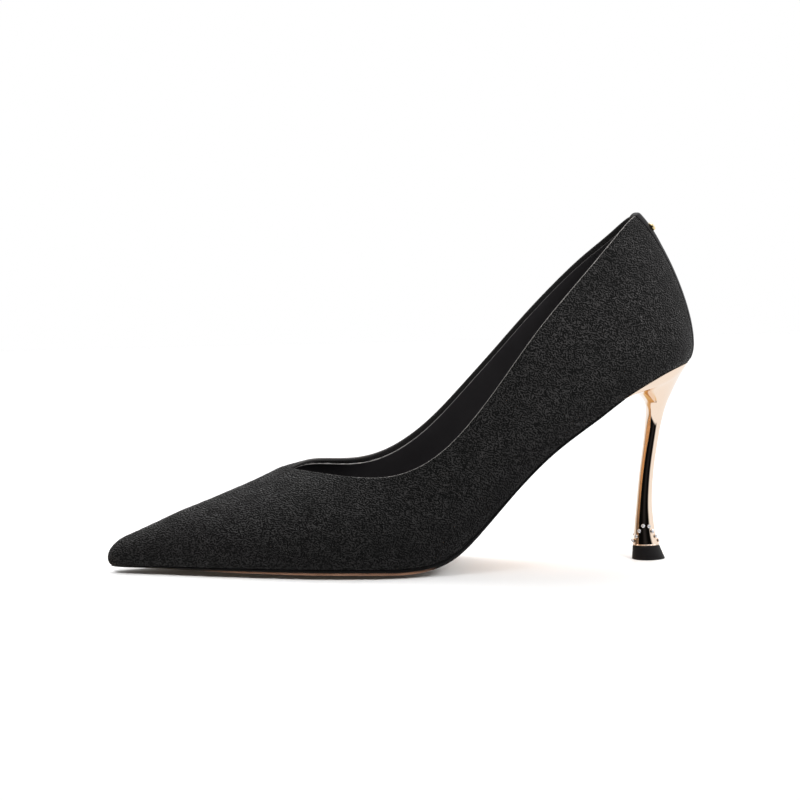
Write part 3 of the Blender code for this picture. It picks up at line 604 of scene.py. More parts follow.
# Insole. A board covered with the same kid leather, lying inside the upper on the sole and the
# heel seat. All the layers under the foot follow the last's bottom.
GAP = 0.3
CROWN_ALONG = (0, 52, 66, 100)
CROWN_DROP = (2.2, 2.2, 0.0, 0.0)
INSOLE_FREE = 0.15
INSOLE_TOP, INSOLE_BOTTOM = -2.0, -0.05
INSOLE_CORNER = 0.5
edge_places = np.linspace(0, BACK, 1500)
edge_lateral, edge_medial = feather_at(edge_places), feather_at(LOOP - edge_places)


def bottom_height(x, y):
    """Height of the last's bottom: straight between its two edges, sagging by the crown."""
    columns = (edge_lateral[:, 1], edge_medial[:, 1], edge_lateral[:, 2], edge_medial[:, 2])
    near_y, far_y, near_z, far_z = (np.interp(x, edge_lateral[:, 0], column) for column in columns)
    width = np.maximum(far_y - near_y, 0.001)
    q = np.clip((y - near_y) / width, 0, 1)
    crown = np.interp((x / LENGTH + 0.5) * 100, CROWN_ALONG, CROWN_DROP) / 100 * width
    return near_z + (far_z - near_z) * q - crown * (1 - (2 * q - 1) ** 2)


def bottom_at(k, q, inset, depth):
    """The last's bottom: k from the toe, q from the lateral (0) to the medial edge (1).

    inset draws its outline in, and depth is the distance below the last, square to its slope.
    """
    k, q, inset, depth = np.broadcast_arrays(*(np.asarray(a, float) for a in (k, q, inset, depth)))
    lateral = feather_at(k) - outward_at(k) * inset[..., None]
    medial = feather_at(LOOP - k) - outward_at(LOOP - k) * inset[..., None]
    point = lateral + (medial - lateral) * q[..., None]
    point[..., 2] = bottom_height(point[..., 0], point[..., 1])
    middle = (lateral + medial) / 2
    ahead = np.clip(middle[..., 0] - 1, edge_lateral[0, 0], None)
    behind = np.clip(middle[..., 0] + 1, None, edge_lateral[-1, 0])
    climb = bottom_height(behind, middle[..., 1]) - bottom_height(ahead, middle[..., 1])
    down = unit(np.stack([climb, 0 * climb, ahead - behind], axis=-1))
    return point + down * depth[..., None]


LAYER_STEPS = 28
CORNER_STEPS = 4


def layer_rings(k, inset, top, bottom, corner):
    """Rings round a layer under the foot, one for each place k, with rounded corners along its edge."""
    inset, top, bottom = (np.broadcast_to(a, k.shape)[:, None] for a in (inset, top, bottom))
    across = np.concatenate([[0, 0.008], np.linspace(0.02, 0.98, LAYER_STEPS - 3), [0.992, 1]])
    bend = np.linspace(0, math.pi / 2, CORNER_STEPS + 1)
    ease = corner * (1 - np.sin(bend))
    sink = corner * (1 - np.cos(bend))
    ones = np.ones_like(bend)
    q = np.concatenate([across, ones, ones, across[::-1], 0 * ones, 0 * ones])
    extra = np.concatenate([0 * across + corner, ease, ease[::-1], 0 * across + corner, ease, ease[::-1]])
    from_top = np.concatenate([0 * across, sink, 0 * sink, 0 * across, 0 * sink, sink[::-1]])
    from_bottom = np.concatenate([0 * across, 0 * sink, sink[::-1], 0 * across, sink, 0 * sink])
    at_top = np.concatenate([0 * across + 1, ones, 0 * ones, 0 * across, 0 * ones, ones])
    depth = np.where(at_top == 1, top + from_top, bottom - from_bottom)
    return bottom_at(k[:, None], q, inset + extra, depth)


def layer_mesh(name, rings, capped=False):
    """A layer from its rings, closed round each ring, its edge marked. capped closes its back end."""
    face = np.pad(np.zeros(LAYER_STEPS - 1), 1, constant_values=1)
    corner = np.ones(2 * CORNER_STEPS + 2)
    rings = np.concatenate([rings, rings[:, :1]], axis=1)
    grids = [(rings, False)]
    marks = [np.tile(np.concatenate([face, corner, face, corner, [1]]), (len(rings), 1))]
    if capped:
        end, under = rings[-1], LAYER_STEPS + 2 * CORNER_STEPS + 3
        top, bottom = end[: LAYER_STEPS + 1], end[under : under + LAYER_STEPS + 1][::-1]
        grids.append((np.stack([top, bottom]), False))
        marks.append(np.ones((2, LAYER_STEPS + 1)))
    return grid_mesh(name, grids, marks)


TOE_TURN, BACK_TURN = 12.0, BACK - 14.0
sole_places = np.concatenate([np.linspace(0, TOE_TURN, 40)[:-1], np.linspace(TOE_TURN, BACK_TURN, 260),
                              np.linspace(BACK_TURN, BACK, 40)[1:]])
# The sock's kid leather, coloured darker than the lining as painted shade, so that the foot bed stays dark
sock_leather = smooth_leather("glazed_kid_sock", ("#1c1a1c", "#242123"), 0.8, 0.45)
insole_inset = WALL + LINING_FREE + LINING + INSOLE_FREE
insole_rings = layer_rings(sole_places, insole_inset, INSOLE_TOP, INSOLE_BOTTOM, INSOLE_CORNER)
add_piece("insole", layer_mesh("insole", insole_rings), sock_leather, "lining", "insole")


# Rand. A strip of leather board under the upper's edge from the toe to the heel's breast, its
# edge inked black and waxed. It thins along the waist, to a feather where it meets the heel.
BREAST_X = 89.3
RAND = 0.8
TUCKED_IN = 0.2
EDGE_CORNER = 0.15
RAND_INSET_ALONG = (0, 4, 12)
RAND_INSET = (0.4, 0.35, -0.05)
RAND_ALONG = (0, 8, 20, 30, 52, 60, 82.5, 86.5)
RAND_SHARE = (0.15, 0.25, 0.7, 0.9, 1.0, 0.65, 0.6, 0.1)


# Edge ink, rolled on and hot-waxed: deep black with a soft shine and faint brush lines
def inked_edge():
    material, tree, place = new_material("inked_edge", IOR=1.5, Specular_IOR_Level=0.25)
    strokes = add_node(tree, "ShaderNodeMapping",
                       {"Vector": place, "Scale": (1 / (18 * MM), 1 / (3 * MM), 1 / (0.6 * MM))})
    brushed = add_node(tree, "ShaderNodeTexNoise", {"Vector": strokes, "Scale": 1.0, "Detail": 3})
    shade = add_node(tree, "ShaderNodeValToRGB", {"Fac": brushed}, stops=((0, "#060606"), (1, "#0d0c0d")))
    gloss = add_node(tree, "ShaderNodeMapRange", {"Value": brushed, "To Min": 0.35, "To Max": 0.5})
    bump = add_node(tree, "ShaderNodeBump", {"Height": brushed, "Strength": 0.2, "Distance": 0.1 * MM})
    return link_shader(material, Base_Color=shade, Roughness=gloss, Normal=bump)


BREAST = float(np.interp(BREAST_X, edge_lateral[:, 0], edge_places))
sole_side = np.append(sole_places[sole_places < BREAST - 0.5], BREAST)
percent = (feather_at(sole_side)[:, 0] / LENGTH + 0.5) * 100
rand_depth = GAP + RAND * np.interp(percent, RAND_ALONG, RAND_SHARE)
rand_inset = np.interp(percent, RAND_INSET_ALONG, RAND_INSET)
rand_rings = layer_rings(sole_side, rand_inset, GAP - TUCKED_IN, rand_depth, EDGE_CORNER)
add_piece("rand", layer_mesh("rand", rand_rings, capped=True), inked_edge(), "sole_edge", "rand")


# Outsole. Oak-tanned sole leather under the rand, thinned at the toe and drawn in at the waist.
# Its edge is left tan along the ball and inked black at the toe and the waist.
OUTSOLE = 1.25
OUTSOLE_ALONG = (0, 8, 22, 34, 50, 58, 70, 82, 86.5)
OUTSOLE_INSET = (3.0, 2.0, 0.9, 0.6, 0.6, 1.5, 4.5, 4.5, 4.5)
OUTSOLE_SHARE = (0.0, 0.05, 0.4, 0.62, 0.65, 0.55, 0.4, 0.35, 0.3)
INK_TOE, INK_TOE_END = -84.0, -66.0
INK_WAIST, INK_WAIST_END = 2.0, 11.0
STAIN_END, PALE_WAIST = 18.0, 48.0


# Vegetable-tanned leather: warm tan on its trimmed edge, paler under the waist and stained a dull
# brown under the tread, with close fibre grain along the sole, satin where it was burnished
def sole_leather():
    material, tree, place = new_material("tan_sole_leather", IOR=1.48, Specular_IOR_Level=0.4)
    along = add_node(tree, "ShaderNodeMapping",
                     {"Vector": place, "Scale": (1 / (5 * MM), 1 / (0.9 * MM), 1 / (0.9 * MM))})
    fibre = add_node(tree, "ShaderNodeTexNoise", {"Vector": along, "Scale": 1.0, "Detail": 4})
    cloud = add_node(tree, "ShaderNodeTexNoise", {"Vector": place, "Scale": 1 / (22 * MM), "Detail": 2})
    mixed = add_node(tree, "ShaderNodeMath", {0: fibre, 1: cloud}, operation="ADD")
    tone = add_node(tree, "ShaderNodeMapRange", {"Value": mixed, "From Min": 0.7, "From Max": 1.3})
    x = add_node(tree, "ShaderNodeSeparateXYZ", {"Vector": place}).outputs["X"]
    pale, toe, waist = (add_node(tree, "ShaderNodeMapRange",
                                 {"Value": x, "From Min": start * MM, "From Max": end * MM})
                        for start, end in ((STAIN_END, PALE_WAIST), (INK_TOE_END, INK_TOE),
                                           (INK_WAIST, INK_WAIST_END)))
    tans = [add_node(tree, "ShaderNodeValToRGB", {"Fac": tone}, stops=((0, dark), (1, light)))
            for dark, light in (("#4f463e", "#5f564c"), ("#b98a58", "#cfa06c"), ("#86604a", "#a97f66"))]
    edge = add_node(tree, "ShaderNodeAttribute", attribute_name="skin").outputs["Fac"]
    under = add_node(tree, "ShaderNodeMix", {"Factor": pale, "A": tans[0], "B": tans[1]}, data_type="RGBA")
    trimmed = add_node(tree, "ShaderNodeMix", {"Factor": edge, "A": under, "B": tans[2]}, data_type="RGBA")
    ends = add_node(tree, "ShaderNodeMath", {0: toe, 1: waist}, operation="MAXIMUM")
    ink = add_node(tree, "ShaderNodeMath", {0: ends, 1: edge}, operation="MULTIPLY")
    inked = add_node(tree, "ShaderNodeMix", {"Factor": ink, "A": trimmed, "B": to_linear("#141314")},
                     data_type="RGBA")
    gloss = add_node(tree, "ShaderNodeMapRange", {"Value": fibre, "To Min": 0.38, "To Max": 0.58})
    bump = add_node(tree, "ShaderNodeBump", {"Height": fibre, "Strength": 0.25, "Distance": 0.12 * MM})
    return link_shader(material, Base_Color=inked, Roughness=gloss, Normal=bump)


outsole_top = rand_depth + GAP - TUCKED_IN
outsole_depth = rand_depth + GAP + OUTSOLE * np.interp(percent, OUTSOLE_ALONG, OUTSOLE_SHARE)
outsole_inset = np.interp(percent, OUTSOLE_ALONG, OUTSOLE_INSET)
outsole_rings = layer_rings(sole_side, outsole_inset, outsole_top, outsole_depth, EDGE_CORNER)
outsole_rings[..., 2] = np.maximum(outsole_rings[..., 2], 0)
outsole_mesh = layer_mesh("outsole", outsole_rings, capped=True)
add_piece("outsole", outsole_mesh, sole_leather(), "sole_leather", "outsole")


# Heel. A slim moulded stem with a wide seat under the back of the foot, a scooped breast and a
# flared foot, plated and polished pale gold.

# Its levels from the seat down, in millimetres: the front and back points and half the width, then
# how far a level keeps the seat's outline, how deep its breast is scooped and how its wings rise
Level = namedtuple("Level", "front_x front_z back_x back_z half_width seat hollow lift", defaults=(0, 0, 0))
HEEL_LEVELS = [
    Level(91.6, 69.3, 117.9, 80.2, 23.0, 1.0, 0.02, 0.6),
    Level(93.9, 69.2, 116.2, 77.3, 20.3, 0.95, 0.05, 1.25),
    Level(96.3, 68.3, 114.2, 73.6, 16.4, 0.8, 0.08, 1.9),
    Level(99.0, 66.5, 112.2, 69.4, 12.2, 0.6, 0.08, 1.95),
    Level(100.9, 64.5, 110.4, 65.4, 8.6, 0.35, 0.05, 1.2),
    Level(101.4, 60.6, 108.9, 60.8, 5.8, 0.15, 0.02, 0.4),
    Level(101.1, 55.5, 107.6, 55.5, 4.3),
    Level(100.15, 47.5, 106.1, 47.5, 3.5),
    Level(98.9, 38.5, 104.7, 38.5, 3.2),
    Level(97.85, 29.5, 103.9, 29.5, 3.2),
    Level(97.05, 21.5, 103.8, 21.5, 3.4),
    Level(96.4, 15.0, 104.4, 15.0, 3.8),
    Level(96.0, 10.0, 105.2, 10.0, 4.4),
    Level(95.5, 5.9, 106.6, 5.9, 5.1),
]
SEAT_INSET = 0.3
SEAT_START = 0.1
BACK_STEPS = 96
BREAST_STEPS = 40
BREAST_CORNER = math.radians(125)
BREAST_REACH = 0.6
SEAT_STEPS = 30
HEEL_STEPS = 220
# Rings that round the stem's foot over to its middle: scale and rise
HEEL_RIM = ((1.0, 0.35), (1.02, 0.2), (1.0, 0.0), (0.0, 0.0))


def heel_loops():
    """Closed loops of points at the seat and at each level, and how many of them go round the back."""
    side = np.linspace(BREAST + SEAT_START, BACK, BACK_STEPS // 2 + 1)
    lateral, medial = bottom_at(side, 0, SEAT_INSET, GAP), bottom_at(side[:-1], 1, SEAT_INSET, GAP)
    arc = np.concatenate([lateral, medial[::-1]])
    seat = np.concatenate([arc, np.linspace(arc[-1], arc[0], BREAST_STEPS + 1)[1:-1]])
    front_x, back_x = seat[:, 0].min(), seat[:, 0].max()
    seat_x = (seat[:, 0] - front_x) / (back_x - front_x)
    seat_y = seat[:, 1] / np.abs(seat[:, 1]).max()
    angle = np.concatenate([np.linspace(-BREAST_CORNER, BREAST_CORNER, len(arc)),
                            np.linspace(BREAST_CORNER, 2 * math.pi - BREAST_CORNER, BREAST_STEPS + 1)[1:-1]])
    front = np.clip(1 - seat_x / BREAST_REACH, 0, 1)
    scoop, wing = front * np.clip(1 - seat_y**2, 0, 1), front * seat_y**2
    loops = [seat]
    for level in HEEL_LEVELS:
        share = level.seat * seat_x + (1 - level.seat) * (0.5 + 0.5 * np.cos(angle)) + level.hollow * scoop
        across = level.seat * seat_y + (1 - level.seat) * np.sin(angle)
        x = level.front_x + (level.back_x - level.front_x) * share
        z = level.front_z + (level.back_z - level.front_z) * share + level.lift * wing
        loops.append(np.column_stack([x, level.half_width * across, z]))
    return np.array(loops), len(arc)


def heel_mesh():
    loops, arc_count = heel_loops()
    paces = np.linalg.norm(np.diff(loops, axis=0), axis=2).mean(axis=1)
    knots = np.concatenate([[0], np.cumsum(paces)])
    smooth = spline(knots, loops.reshape(len(loops), -1))
    places = np.concatenate([np.linspace(0, knots[2], SEAT_STEPS)[:-1],
                             np.linspace(knots[2], knots[-1], HEEL_STEPS)])
    rings = smooth(places).reshape(len(places), -1, 3)
    foot = rings[-1]
    centre = foot.mean(axis=0)
    rim = [centre + (foot - centre) * scale + (0, 0, rise) for scale, rise in HEEL_RIM]
    rings = np.concatenate([rings[:-1], rim])
    grids = [(np.concatenate([rings, rings[:, :1]], axis=1), False)]
    seat = rings[0]
    half = arc_count // 2
    near, far = seat[: half + 1], seat[half:arc_count][::-1]
    across = np.linspace(0, 1, BREAST_STEPS + 1)[None, :, None]
    grids.append((near[:, None] * (1 - across) + far[:, None] * across, False))
    return grid_mesh("heel", grids)


# Gold-plated moulding, polished: a mirror of pale rose gold with a few fine hairlines down the stem,
# which are drawn wider than real ones so that they show
def polished_gold(name, colors, roughness):
    material, tree, place = new_material(name, Metallic=1.0)
    cloud = add_node(tree, "ShaderNodeTexNoise", {"Vector": place, "Scale": 1 / (12 * MM), "Detail": 2})
    shade = add_node(tree, "ShaderNodeValToRGB", {"Fac": cloud}, stops=((0, colors[0]), (1, colors[1])))
    hairlines = add_node(tree, "ShaderNodeMapping",
                         {"Vector": place, "Scale": (1 / (0.5 * MM), 1 / (0.5 * MM), 1 / (9 * MM))})
    polish = add_node(tree, "ShaderNodeTexNoise", {"Vector": hairlines, "Scale": 1.0, "Detail": 3})
    gloss = add_node(tree, "ShaderNodeMapRange", {"Value": polish, "From Min": 0.35, "From Max": 0.75,
                                                  "To Min": roughness[0], "To Max": roughness[1]})
    return link_shader(material, Base_Color=shade, Roughness=gloss)


gold = polished_gold("polished_rose_gold", ("#f4dcc6", "#f8e5d4"), (0.03, 0.08))
add_piece("heel", heel_mesh(), gold, "polished_gold", "heel")


# Top piece. The tip under the heel, moulded from hard rubber round a steel pin and driven into the
# stem. It flares towards the floor, most of all at the back.
TIP_FLARE = {"back": 2.4, "side": 0.9, "front": 0.3}
TIP_ROUND, TIP_CORNER = 0.35, 0.1
TIP_STEPS = 96


def top_piece_mesh():
    """Rings down the tip, from a profile of heights and of how far each ring stands in from its flare."""
    foot = HEEL_LEVELS[-1]
    height = foot.front_z - GAP
    turn = np.linspace(0, 2 * math.pi, TIP_STEPS + 1)
    side = (height - TIP_ROUND, 0.75 * height, 0.5 * height, 0.25 * height, TIP_ROUND)
    profile = [(height, -foot.half_width), (height, -TIP_ROUND), (height - TIP_CORNER, -TIP_CORNER)]
    profile += [(z, 0.0) for z in side]
    profile += [(TIP_CORNER, -TIP_CORNER), (0.0, -TIP_ROUND), (0.0, -foot.half_width)]
    rings = []
    for z, grow in profile:
        flare = 1 - z / height
        front = foot.front_x - TIP_FLARE["front"] * flare
        back = foot.back_x + TIP_FLARE["back"] * flare
        half_x, half_y = (back - front) / 2, foot.half_width + TIP_FLARE["side"] * flare
        shrink = max(0.0, 1 + grow / half_y) if grow > -foot.half_width else 0.0
        x = (front + back) / 2 + half_x * shrink * np.cos(turn)
        rings.append(np.column_stack([x, half_y * shrink * np.sin(turn), np.full(len(turn), z)]))
    return grid_mesh("top_piece", [(np.array(rings), False)])


# Hard heel rubber, moulded: charcoal black, dull, with a fine sandy skin, drawn coarser than the
# real one so that it shows
def heel_rubber():
    material, tree, place = new_material("hard_heel_rubber", IOR=1.5, Specular_IOR_Level=0.25)
    sand = add_node(tree, "ShaderNodeTexNoise", {"Vector": place, "Scale": 1 / (0.7 * MM), "Detail": 3})
    shade = add_node(tree, "ShaderNodeValToRGB", {"Fac": sand}, stops=((0, "#0c0b0c"), (1, "#1c1a1b")))
    gloss = add_node(tree, "ShaderNodeMapRange", {"Value": sand, "To Min": 0.5, "To Max": 0.7})
    bump = add_node(tree, "ShaderNodeBump", {"Height": sand, "Strength": 0.6, "Distance": 0.12 * MM})
    return link_shader(material, Base_Color=shade, Roughness=gloss, Normal=bump)


add_piece("top_piece", top_piece_mesh(), heel_rubber(), "rubber", "top_piece")


# Crystals. Round cut-glass stones set in small gold cups, in one row that rises over both sides
# of the heel's flare.
CRYSTAL_COUNT = 16
CRYSTAL_RADIUS = 0.8
CRYSTAL_LOW, CRYSTAL_HIGH = 7.2, 14.6
CUP_RADIUS, CUP_HEIGHT, CUP_LIFT = 0.84, 0.3, 0.05
# The radius and height of a stone's rings, as shares of its own radius, and the depth of its point
TABLE, KITES = (0.55, 0.55), (0.82, 0.32)
GIRDLE_TOP, GIRDLE_FOOT = (1.0, 0.05), (1.0, -0.1)
STONE_POINT = -0.3


def stem_at(angle, z):
    """A point on the heel's stem, angle measured from the back."""
    heights = np.array([level.front_z for level in HEEL_LEVELS])[::-1]
    columns = [np.array([getattr(level, name) for level in HEEL_LEVELS])[::-1]
               for name in ("front_x", "back_x", "half_width")]
    front, back, half = (np.interp(z, heights, column) for column in columns)
    return np.array([(front + back) / 2 + (back - front) / 2 * math.cos(angle), half * math.sin(angle), z])


def crystal_row():
    """Points evenly along the wavy row, and the direction out of the heel at each."""
    def place(angle):
        return stem_at(angle, CRYSTAL_LOW + (CRYSTAL_HIGH - CRYSTAL_LOW) * math.sin(angle) ** 2)

    turns = np.linspace(0, 2 * math.pi, 721)
    line = np.array([place(a) for a in turns])
    run = np.concatenate([[0], np.cumsum(np.linalg.norm(np.diff(line, axis=0), axis=1))])
    points, outs = [], []
    for n in range(CRYSTAL_COUNT):
        angle = float(np.interp((n + 0.5) / CRYSTAL_COUNT * run[-1], run, turns))
        point = place(angle)
        round_way = stem_at(angle + 0.01, point[2]) - stem_at(angle - 0.01, point[2])
        upward = stem_at(angle, point[2] + 0.1) - stem_at(angle, point[2] - 0.1)
        points.append(point)
        outs.append(unit(np.cross(round_way, upward)))
    return np.array(points), np.array(outs)


def stone_mesh(material):
    """A round stone with a table, eight kites and sixteen girdle facets, its girdle at z = 0."""
    r = CRYSTAL_RADIUS * MM

    def ring(shares, count, turn=0.0):
        radius, z = (share * r for share in shares)
        return [(radius * math.cos(a + turn), radius * math.sin(a + turn), z)
                for a in np.arange(count) * 2 * math.pi / count]

    points = ring(TABLE, 8) + ring(KITES, 8, math.pi / 8) + ring(GIRDLE_TOP, 16) + ring(GIRDLE_FOOT, 16)
    points.append((0, 0, STONE_POINT * r))
    faces = [tuple(range(8))]
    for i in range(8):
        j = (i + 1) % 8
        edge, mid, tip = 16 + 2 * i, 17 + 2 * i, 16 + (2 * i + 2) % 16
        faces += [(i, 8 + i, j), (i, edge, 8 + i), (j, 8 + i, tip), (8 + i, edge, mid), (8 + i, mid, tip)]
    for i in range(16):
        j = (i + 1) % 16
        faces += [(16 + i, 32 + i, 32 + j, 16 + j), (32 + i, 48, 32 + j)]
    mesh = bpy.data.meshes.new("stone")
    mesh.from_pydata(points, [], faces)
    mesh.materials.append(material)
    close_mesh(mesh)
    return mesh


def cup_mesh(material):
    """A short round cup for a stone, its floor at z = 0."""
    bm = bmesh.new()
    bmesh.ops.create_cone(bm, cap_ends=True, segments=24, radius1=CUP_RADIUS * MM, radius2=CUP_RADIUS * MM,
                          depth=CUP_HEIGHT * MM, matrix=Matrix.Translation((0, 0, CUP_HEIGHT * MM / 2)))
    mesh = bpy.data.meshes.new("cup")
    bm.to_mesh(mesh)
    bm.free()
    mesh.materials.append(material)
    return mesh


def row_tree():
    """One piece at every point of the row, turned to face out of the heel there and lifted off it."""
    tree, source = new_tree("crystal_row", (("Piece", "NodeSocketObject"), ("Lift", "NodeSocketFloat"),
                                            ("Finish", "NodeSocketMaterial")))
    out = add_node(tree, "GeometryNodeInputNamedAttribute", {"Name": "out"}, data_type="FLOAT_VECTOR")
    turn = add_node(tree, "FunctionNodeAlignRotationToVector", {"Vector": out}, axis="Z")
    shape = add_node(tree, "GeometryNodeObjectInfo", {"Object": source.outputs["Piece"]})
    lift = add_node(tree, "ShaderNodeCombineXYZ", {"Z": source.outputs["Lift"]})
    raised = add_node(tree, "GeometryNodeTransform",
                      {"Geometry": shape.outputs["Geometry"], "Translation": lift})
    placed = add_node(tree, "GeometryNodeInstanceOnPoints", {"Points": source.outputs["Geometry"],
                                                             "Instance": raised, "Rotation": turn})
    end_tree(tree, placed, source.outputs["Finish"])
    return tree


def along_row(tree, mesh, lift, material):
    """The mesh set at every place of the row, as one plain mesh."""
    points, outs = crystal_row()
    row = bpy.data.meshes.new("row_points")
    row.from_pydata(((points + AXIS) * MM).tolist(), [], [])
    row.attributes.new("out", "FLOAT_VECTOR", "POINT").data.foreach_set("vector", outs.ravel())
    piece = add_object("row_piece", mesh)
    made = run_tree(row, tree, {"Piece": piece, "Lift": lift * MM, "Finish": material})
    bpy.data.objects.remove(piece)
    return made


# Lead crystal: clear cut glass with a bright foil back, coloured in white and grey patches as painted glints
def cut_glass():
    material, tree, place = new_material("foiled_cut_glass", IOR=1.9, Metallic=0.55, Coat_Weight=1.0,
                                         Coat_Roughness=0.02)
    painted_glints = add_node(tree, "ShaderNodeTexVoronoi", {"Vector": place, "Scale": 1 / (0.6 * MM)})
    # Painted glints: white and grey patches in the stones' colour
    shade = add_node(tree, "ShaderNodeValToRGB", {"Fac": painted_glints}, stops=((0, "#ffffff"), (1, "#a9aab2")))
    gloss = add_node(tree, "ShaderNodeMapRange", {"Value": painted_glints, "To Min": 0.03, "To Max": 0.08})
    return link_shader(material, Base_Color=shade, Roughness=gloss)


row = row_tree()
glass = cut_glass()
crystal_nodes = [f"crystal_{n:02d}" for n in range(1, CRYSTAL_COUNT + 1)]
stones = along_row(row, stone_mesh(glass), CUP_LIFT + CUP_HEIGHT, glass)
add_piece("crystals", stones, glass, "crystal", *crystal_nodes)
add_piece("crystal_cups", along_row(row, cup_mesh(gold), CUP_LIFT, gold), gold, "polished_gold")


# Back strip. A band of smooth calf glued and sewn up the back seam, folded over the collar and
# tucked in inside.
STRIP = 0.5
STRIP_DOUBLED = 0.3
STRIP_DOUBLED_FROM, STRIP_DOUBLED_TO = 0.76, 0.87
STRIP_LAID = 0.1
STRIP_INSIDE = 0.25
STRIP_CREST = 1.1
STRIP_HALF_FOOT = 4.5
STRIP_HALF_TOP = 5.8
STRIP_FOOT = 0.03
STRIP_TUCK = 0.86
STRIP_SKIVED = 0.12
STRIP_FULL, STRIP_EDGE = 0.45, 0.15
STRIP_COLUMNS = 40
STRIP_ROWS, STRIP_FOLD_STEPS, STRIP_TUCK_ROWS = 90, 14, 15


def strip_spread(v):
    """Half width of the strip at height v, as a distance along the way round the shoe."""
    half = STRIP_HALF_FOOT + (STRIP_HALF_TOP - STRIP_HALF_FOOT) * v
    run = np.linalg.norm(wall_at(BACK + 2.0, v) - wall_at(BACK - 2.0, v), axis=-1) / 4.0
    return half / run


def strip_thickness(v):
    """Thickness of the strip at height v: skived at its foot, doubled under the badge."""
    doubled = np.interp(v, (STRIP_DOUBLED_FROM, STRIP_DOUBLED_TO), (0, STRIP_DOUBLED))
    return STRIP * np.clip((v - STRIP_FOOT) / STRIP_SKIVED, 0, 1) ** 0.5 + doubled


def strip_path(side, share):
    """One line of the strip from the sole over the collar to the tuck inside, at a share of its thickness."""
    rise = np.linspace(STRIP_FOOT, 1, STRIP_ROWS + 1)
    out = STRIP_LAID + share * strip_thickness(rise)
    outside = skin_at(BACK + side * strip_spread(rise), rise, out)
    behind = -WALL - LINING - STRIP_LAID - share * STRIP_INSIDE
    k_top = np.array([BACK + side * strip_spread(1.0)])
    crest = FOLD_HEIGHT + STRIP_LAID + share * STRIP_CREST
    over = fold_over(k_top, out[-1], behind, crest, STRIP_FOLD_STEPS)[0, 1:-1]
    sink = np.linspace(1, STRIP_TUCK, STRIP_TUCK_ROWS + 1)
    inside = skin_at(BACK + side * strip_spread(sink), sink, behind)
    return np.concatenate([outside, over, inside])


def slab_mesh(name, face, back):
    """A sheet with a face and a back, closed along its four edges."""
    grids = [(face, False), (back, False)]
    for edge in (np.s_[0, :], np.s_[-1, :], np.s_[:, 0], np.s_[:, -1]):
        grids.append((np.stack([face[edge], back[edge]]), False))
    return grid_mesh(name, grids)


def back_strip_mesh():
    sides = np.linspace(-1, 1, STRIP_COLUMNS + 1)
    thinned = np.clip((np.abs(sides) - STRIP_FULL) / (1 - STRIP_FULL), 0, 1) ** 2
    share = 1 - (1 - STRIP_EDGE) * thinned
    outer = np.array([strip_path(side, part) for side, part in zip(sides, share)])
    inner = np.array([strip_path(side, 0.0) for side in sides])
    return slab_mesh("back_strip", outer, inner)


# Calf, dyed a deep black and left duller than the kid: it hardly stands out from the crinkled quarter
strip_leather = smooth_leather("smooth_black_calf", ("#121112", "#191819"), 0.6, 0.15)
add_piece("back_strip", back_strip_mesh(), strip_leather, "smooth_leather", "back_strip")


# Badge. A plain rounded bar of gold-plated brass, domed and brushed to a soft shine. It is riveted
# through the back strip just under the collar, where the strip is doubled.
BADGE_HALF_WIDTH = 4.0
BADGE_HALF_HEIGHT = 1.6
BADGE_THICKNESS = 1.3
BADGE_V = 0.885
BADGE_BLUNT, BADGE_DOME = 0.998, 0.75
BADGE_COLUMNS, BADGE_ROWS = 60, 24


def badge_mesh():
    v_per_mm = 1 / rib_speed(BACK, BADGE_V)
    k_per_mm = strip_spread(BADGE_V) / (STRIP_HALF_FOOT + (STRIP_HALF_TOP - STRIP_HALF_FOOT) * BADGE_V)
    across = np.sin(np.linspace(-1, 1, BADGE_COLUMNS + 1) * math.pi / 2)
    end = BADGE_HALF_WIDTH - BADGE_HALF_HEIGHT
    reach = np.clip((np.abs(across) * BADGE_HALF_WIDTH - end) / BADGE_HALF_HEIGHT, 0, 1)
    half = BADGE_HALF_HEIGHT * np.sqrt(1 - BADGE_BLUNT * reach**2)
    up = np.sin(np.linspace(-1, 1, BADGE_ROWS + 1) * math.pi / 2)
    k = BACK + (across * BADGE_HALF_WIDTH * k_per_mm)[:, None] + 0 * up
    v = BADGE_V + half[:, None] * up * v_per_mm
    edge = np.maximum(np.abs(up)[None, :], reach[:, None])
    dome = BADGE_THICKNESS * np.sqrt(np.clip(1 - BADGE_DOME * edge**6, 0, 1))
    seat = STRIP_LAID + strip_thickness(v)
    return slab_mesh("badge", skin_at(k, v, seat + dome), skin_at(k, v, seat))


badge_gold = polished_gold("satin_badge_gold", ("#f7da9c", "#fdecc2"), (0.15, 0.25))
add_piece("badge", badge_mesh(), badge_gold, "polished_gold", "badge")


# Studio. A wide white floor, one broad soft light overhead, two small lamps on the camera's side that
# lift the quarter and the toe, and a pale room that is dark only behind the camera.
FLOOR_LOW, FLOOR_HIGH = (-12.0, -12.0), (12.0, 1.1)
FILL_SIZE = (0.1, 0.1)


# Seamless backdrop paper: matt white, with a barely visible cloud in its tone
def white_floor():
    material, tree, place = new_material("white_paper_floor", Roughness=0.9, Specular_IOR_Level=0.1)
    cloud = add_node(tree, "ShaderNodeTexNoise", {"Vector": place, "Scale": 1 / (400 * MM), "Detail": 2})
    shade = add_node(tree, "ShaderNodeValToRGB", {"Fac": cloud}, stops=((0, "#f6f6f6"), (1, "#f8f8f8")))
    return link_shader(material, Base_Color=shade)


floor_mesh = bpy.data.meshes.new("floor")
corners = [(x, y, 0) for x, y in (FLOOR_LOW, (FLOOR_HIGH[0], FLOOR_LOW[1]), FLOOR_HIGH,
                                  (FLOOR_LOW[0], FLOOR_HIGH[1]))]
floor_mesh.from_pydata(corners, [], [(0, 1, 2, 3)])
floor_mesh.materials.append(white_floor())
floor = add_object("floor", floor_mesh)
floor.visible_glossy = False


